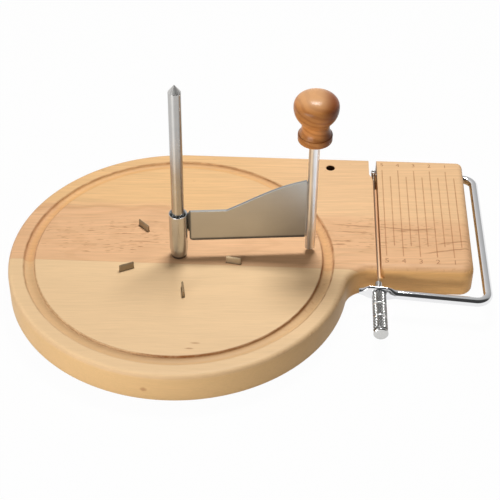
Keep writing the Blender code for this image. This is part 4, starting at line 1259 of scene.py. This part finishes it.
bow_rod = make_mesh("bow_rod", *skin(swept(*bow_stations()), ends="flat"), bow_chrome)
end_flat = slab((BOW_END_X - 1, HINGE_Y - 4, WIRE_Z - 4), (118.5, HINGE_Y + 0.7, WIRE_Z + 4))
bow_mesh = carve("bow", bow_rod, [end_flat, cross_drill(HINGE_Y, 1.1, 4), cross_drill(EYE_Y, 2.3, 3)], sharp=40)
add_piece("bow_rod", bow_mesh, "bow", ["wire_bow"])

# %% [markdown]
# ## Wire, screw and knurled handle
#
# The wire hangs from a small barrel behind the bow, its tail wound back round itself. In front it is
# held in a screw that passes through the eye, and a knurled handle on the screw pulls it tight.
# A knurl is pressed by two toothed wheels: the radius is lowered by two sets of slanted triangle
# waves, one climbing to the left and one to the right, and diamonds stay between them.

# %% Wire, barrel and wound tail
WIRE_RADIUS = 0.3
WIRE_BACK, WIRE_FRONT = 84.45, -15.7
BARREL = [(0.55, -1.1), (1.45, -1.1), (1.45, 1.1), (0.55, 1.1), (0.55, -1.09)]
TAIL_LENGTH, TAIL_PITCH = 8.5, 0.56


def wound(angle, height):
    """Tight turns of wire: a half-round bulge that climbs one wire's width in a turn."""
    turn = height / TAIL_PITCH - angle / (2 * np.pi)
    bulge = np.sqrt(np.clip(1 - (2 * (turn - np.floor(turn)) - 1) ** 2, 0.02, 1))
    ends = np.clip(np.minimum(height, TAIL_LENGTH - height) / 0.3, 0.35, 1)
    return (0.42 + 0.38 * bulge) * ends


wire_rings = turned(np.stack([np.full(40, WIRE_RADIUS), np.linspace(0, WIRE_BACK - WIRE_FRONT, 40)], -1), 20)
wire = skin(along_y(wire_rings, WIRE_X, WIRE_BACK, WIRE_Z))
build("wire_line", wire, wire_steel, "wire_set", ["cutting_wire"])
barrel = skin(bored(soften(BARREL, 0.3)[:-1], 40) + (WIRE_X, 95, WIRE_Z), ends="loop")
build("wire_barrel", barrel, screw_steel, "wire_set", ["wire_eyelet"])
tail = skin(along_y(grid_rings(np.linspace(0, TAIL_LENGTH, 150), wound, 24), WIRE_X, 93.25, WIRE_Z))
build("wire_tail", tail, wire_steel, "wire_set", ["wire_ferrule"])

# %% Screw and handle
SCREW_LENGTH = 32.6
HANDLE_RADIUS, HANDLE_LENGTH = 4.25, 33
RING_ENDS = (10.47, 20.93, 31.4)
KNURL_TEETH, KNURL_LEAN, KNURL_DEPTH = 18, 32, 0.50


def screw_radius(angle, height):
    """A thread with tapered ends."""
    ends = np.minimum(1.4 + height, 1.4 + SCREW_LENGTH - height)
    return np.minimum(thread(angle, height, 2, 0.28, 0.7), ends)


def handle_radius(angle, height):
    """Knurled barrel: diamonds, three turned rings and a smooth collar at the free end."""
    lean = height * (math.tan(math.radians(KNURL_LEAN)) / HANDLE_RADIUS)
    left, right = (wave(KNURL_TEETH * side / (2 * np.pi)) for side in (angle + lean, angle - lean))
    knurl = HANDLE_RADIUS - KNURL_DEPTH * (1 - np.minimum(left, right)) ** 1.2
    ring = np.zeros_like(height)
    for end in RING_ENDS:
        ring = np.maximum(ring, np.clip(2.2 - np.abs(height - end + 0.5) * 3.6, 0, 1))
    collar = np.clip((height - RING_ENDS[-1]) * 4, 0, 1)
    smooth = (HANDLE_RADIUS - 0.5) * (1 - collar) + (HANDLE_RADIUS - 0.02) * collar
    plain = np.maximum(np.maximum(ring, collar), np.clip(1 - height / 0.7, 0, 1))
    ends = np.minimum(3.75 + height, 3.7 + (HANDLE_LENGTH - height) * 1.1)
    return np.minimum(knurl * (1 - plain) + smooth * plain, ends)


def socketed(socket, heights, radius_of, count, y):
    """A body along the wire's line, from y to the front, with a blind hole in its first end."""
    rings = np.concatenate([turned(socket, count), grid_rings(heights, radius_of, count)])
    return skin(along_y(rings, WIRE_X, y, WIRE_Z))


screw = socketed([(0.6, 5), (0.6, 0)], np.linspace(0, SCREW_LENGTH, 330), screw_radius, 32, -11)
build("screw_thread", screw, screw_steel, "wire_set", ["tension_screw"], sharp=40)
handle_heights = np.concatenate([np.linspace(0, 31.2, 200), np.linspace(31.3, HANDLE_LENGTH, 12)])
handle = socketed([(2.3, 25), (2.3, 0)], handle_heights, handle_radius, 180, HANDLE_START)
build("handle_knurled", handle, handle_chrome, "handle", ["tension_handle"], sharp=50)

# %% [markdown]
# ## Feet and fasteners
#
# Under the board sit thin rubber pads with two moulded rings, and a nut with its washer in a recess.
# The nut, the washer and the bush in the knob are right as they are, so they only get a finish.

# %% Feet, washer, nut and bush
FOOT_PROFILE = [(0.01, -22.1), (3, -22.1), (3.3, -22.3), (4.3, -22.3), (4.6, -22.1), (5.4, -22.1), (5.7, -22.3)]
FOOT_PROFILE += [(6.6, -22.3), (7, -21.9), (7, -20.3), (0.01, -20.3)]
FOOT_ORBIT, FOOT_ANGLES = 84, (135, 225, 300)
BLOCK_FEET = [(159.5, 7.5), (159.5, 86)]


def rubber_finish():
    """Pale grey rubber: fine moulded pores and dust in slow clouds."""
    rubber = Finish("foot_rubber")
    pores = rubber.noise(rubber.spot((2.2, 2.2, 2.2)))
    dust = rubber.noise(rubber.spot((0.12, 0.12, 0.12)), 3)
    tone = rubber.mix(rubber.rise(dust, 0.35, 0.7), shade(196, 192, 184), shade(178, 172, 162))
    return rubber.surface(Base_Color=tone, Roughness=0.72 + (pores - 0.5) * 0.2, Normal=rubber.bump(pores, 0.00002))


foot_rubber = rubber_finish()
foot_places = [(FOOT_ORBIT * math.cos(math.radians(a)), FOOT_ORBIT * math.sin(math.radians(a))) for a in FOOT_ANGLES]
for number, (foot_x, foot_y) in enumerate(foot_places + BLOCK_FEET, start=1):
    foot = skin(turned(soften(FOOT_PROFILE, 0.15, 2), 56) + (foot_x, foot_y, 0))
    build(f"foot_pad_{number}", foot, foot_rubber, "board", [f"foot_{number}"], sharp=40)

for node in ("spindle_washer", "spindle_nut", "knob_bush"):
    for holder in bpy.data.objects[node].material_slots:
        holder.material = fastener_steel

# %% [markdown]
# ## Floor and light
#
# The photograph has no horizon and hardly a shadow. The floor glows white for rays from the camera
# and for rays that metal or glass sends on, and keeps a small share of plain white paint, on which
# the shadow shows. The room is soft light from all sides. One lamp stands above and a little behind
# and draws the shadows, and a long, weak one fills them from the front left. Metal needs something
# dark to mirror, so the room is dark in front above the horizon.

# %% Floor and room
FLOOR_HALF = 2500
FLOOR_GLOW = 0.975
WARM_LIGHT, WHITE_LIGHT = (1, 0.87, 0.72), (1, 1, 1)


def white_floor():
    """A share of glow for camera, glossy and transmitted rays over white paint."""
    paint = Finish("floor_white")
    fine = paint.noise(paint.spot((0.02, 0.02, 0.02)))
    paint.surface(Base_Color=paint.scaled((0.66, 0.66, 0.65), 1 + (fine - 0.5) * 0.01), Roughness=0.9)
    seen = strongest(paint.ray(kind) for kind in ("Camera", "Glossy", "Transmission"))
    glow = paint.node("Emission", {}, {"Strength": 1})
    matt = Signal(paint, paint.shader.outputs[0])
    blend = paint.node("MixShader", {}, {0: seen * FLOOR_GLOW, 1: matt, 2: glow})
    paint.feed(paint.tree.nodes["Material Output"].inputs["Surface"], blend)
    return paint.owner


def studio_world():
    """Light by direction: white at the horizon, dark above it in front, pale behind and overhead.

    What wood and paint receive is a little warm, as in a room with wooden things. Metal mirrors white.
    """
    room = Finish("studio", bpy.data.worlds.new("studio"))
    x, y, z = room.parts(room.node("TexCoord", {}, {}, "Generated"))
    above = room.rise(z, 0.10, 0.26)
    behind = room.rise(y, -0.15, 0.30)
    left = room.rise(0 - x, 0.25, 0.8)
    mirrored = (1 - above) + above * (0.05 + 0.30 * left + behind * (0.50 - 0.20 * x))
    level = 0.155 + 0.02 * room.rise(z, 0, 1) - 0.025 * x
    glossy, seen = room.ray("Glossy"), room.ray("Camera")
    value = level * (1 - glossy) + mirrored * glossy
    background = room.tree.nodes["Background"]
    room.feed(background.inputs["Strength"], value * (1 - seen) + seen)
    room.feed(background.inputs["Color"], room.mix(seen.larger(glossy), WARM_LIGHT, WHITE_LIGHT))
    return room.owner


floor_mesh = bpy.data.meshes.new("floor")
floor_corners = [(x * FLOOR_HALF, y * FLOOR_HALF, -TOP_Z) for x, y in ((-1, -1), (1, -1), (1, 1), (-1, 1))]
floor_mesh.from_pydata(in_metres(floor_corners).tolist(), [], [(0, 1, 2, 3)])
floor_mesh.materials.append(white_floor())
floor = new_object("floor", floor_mesh)
bpy.context.scene.world = studio_world()

# %% Lamps


def add_lamp(name, place, aim, width, height, power):
    """A rectangular lamp that looks from one point to another."""
    data = bpy.data.lights.new(name, "AREA")
    data.shape = "RECTANGLE"
    data.size, data.size_y = width * MM, height * MM
    data.energy = power
    lamp = new_object(name, data)
    lamp.location = in_metres(place)
    toward = Vector(in_metres(aim)) - lamp.location
    lamp.rotation_euler = toward.to_track_quat("-Z", "Y").to_euler()


add_lamp("key", (66, 150, 560), (40, 0, 0), 175, 115, 2.78)
add_lamp("fill", (-340, -560, 100), (0, 0, 20), 500, 130, 2.6)
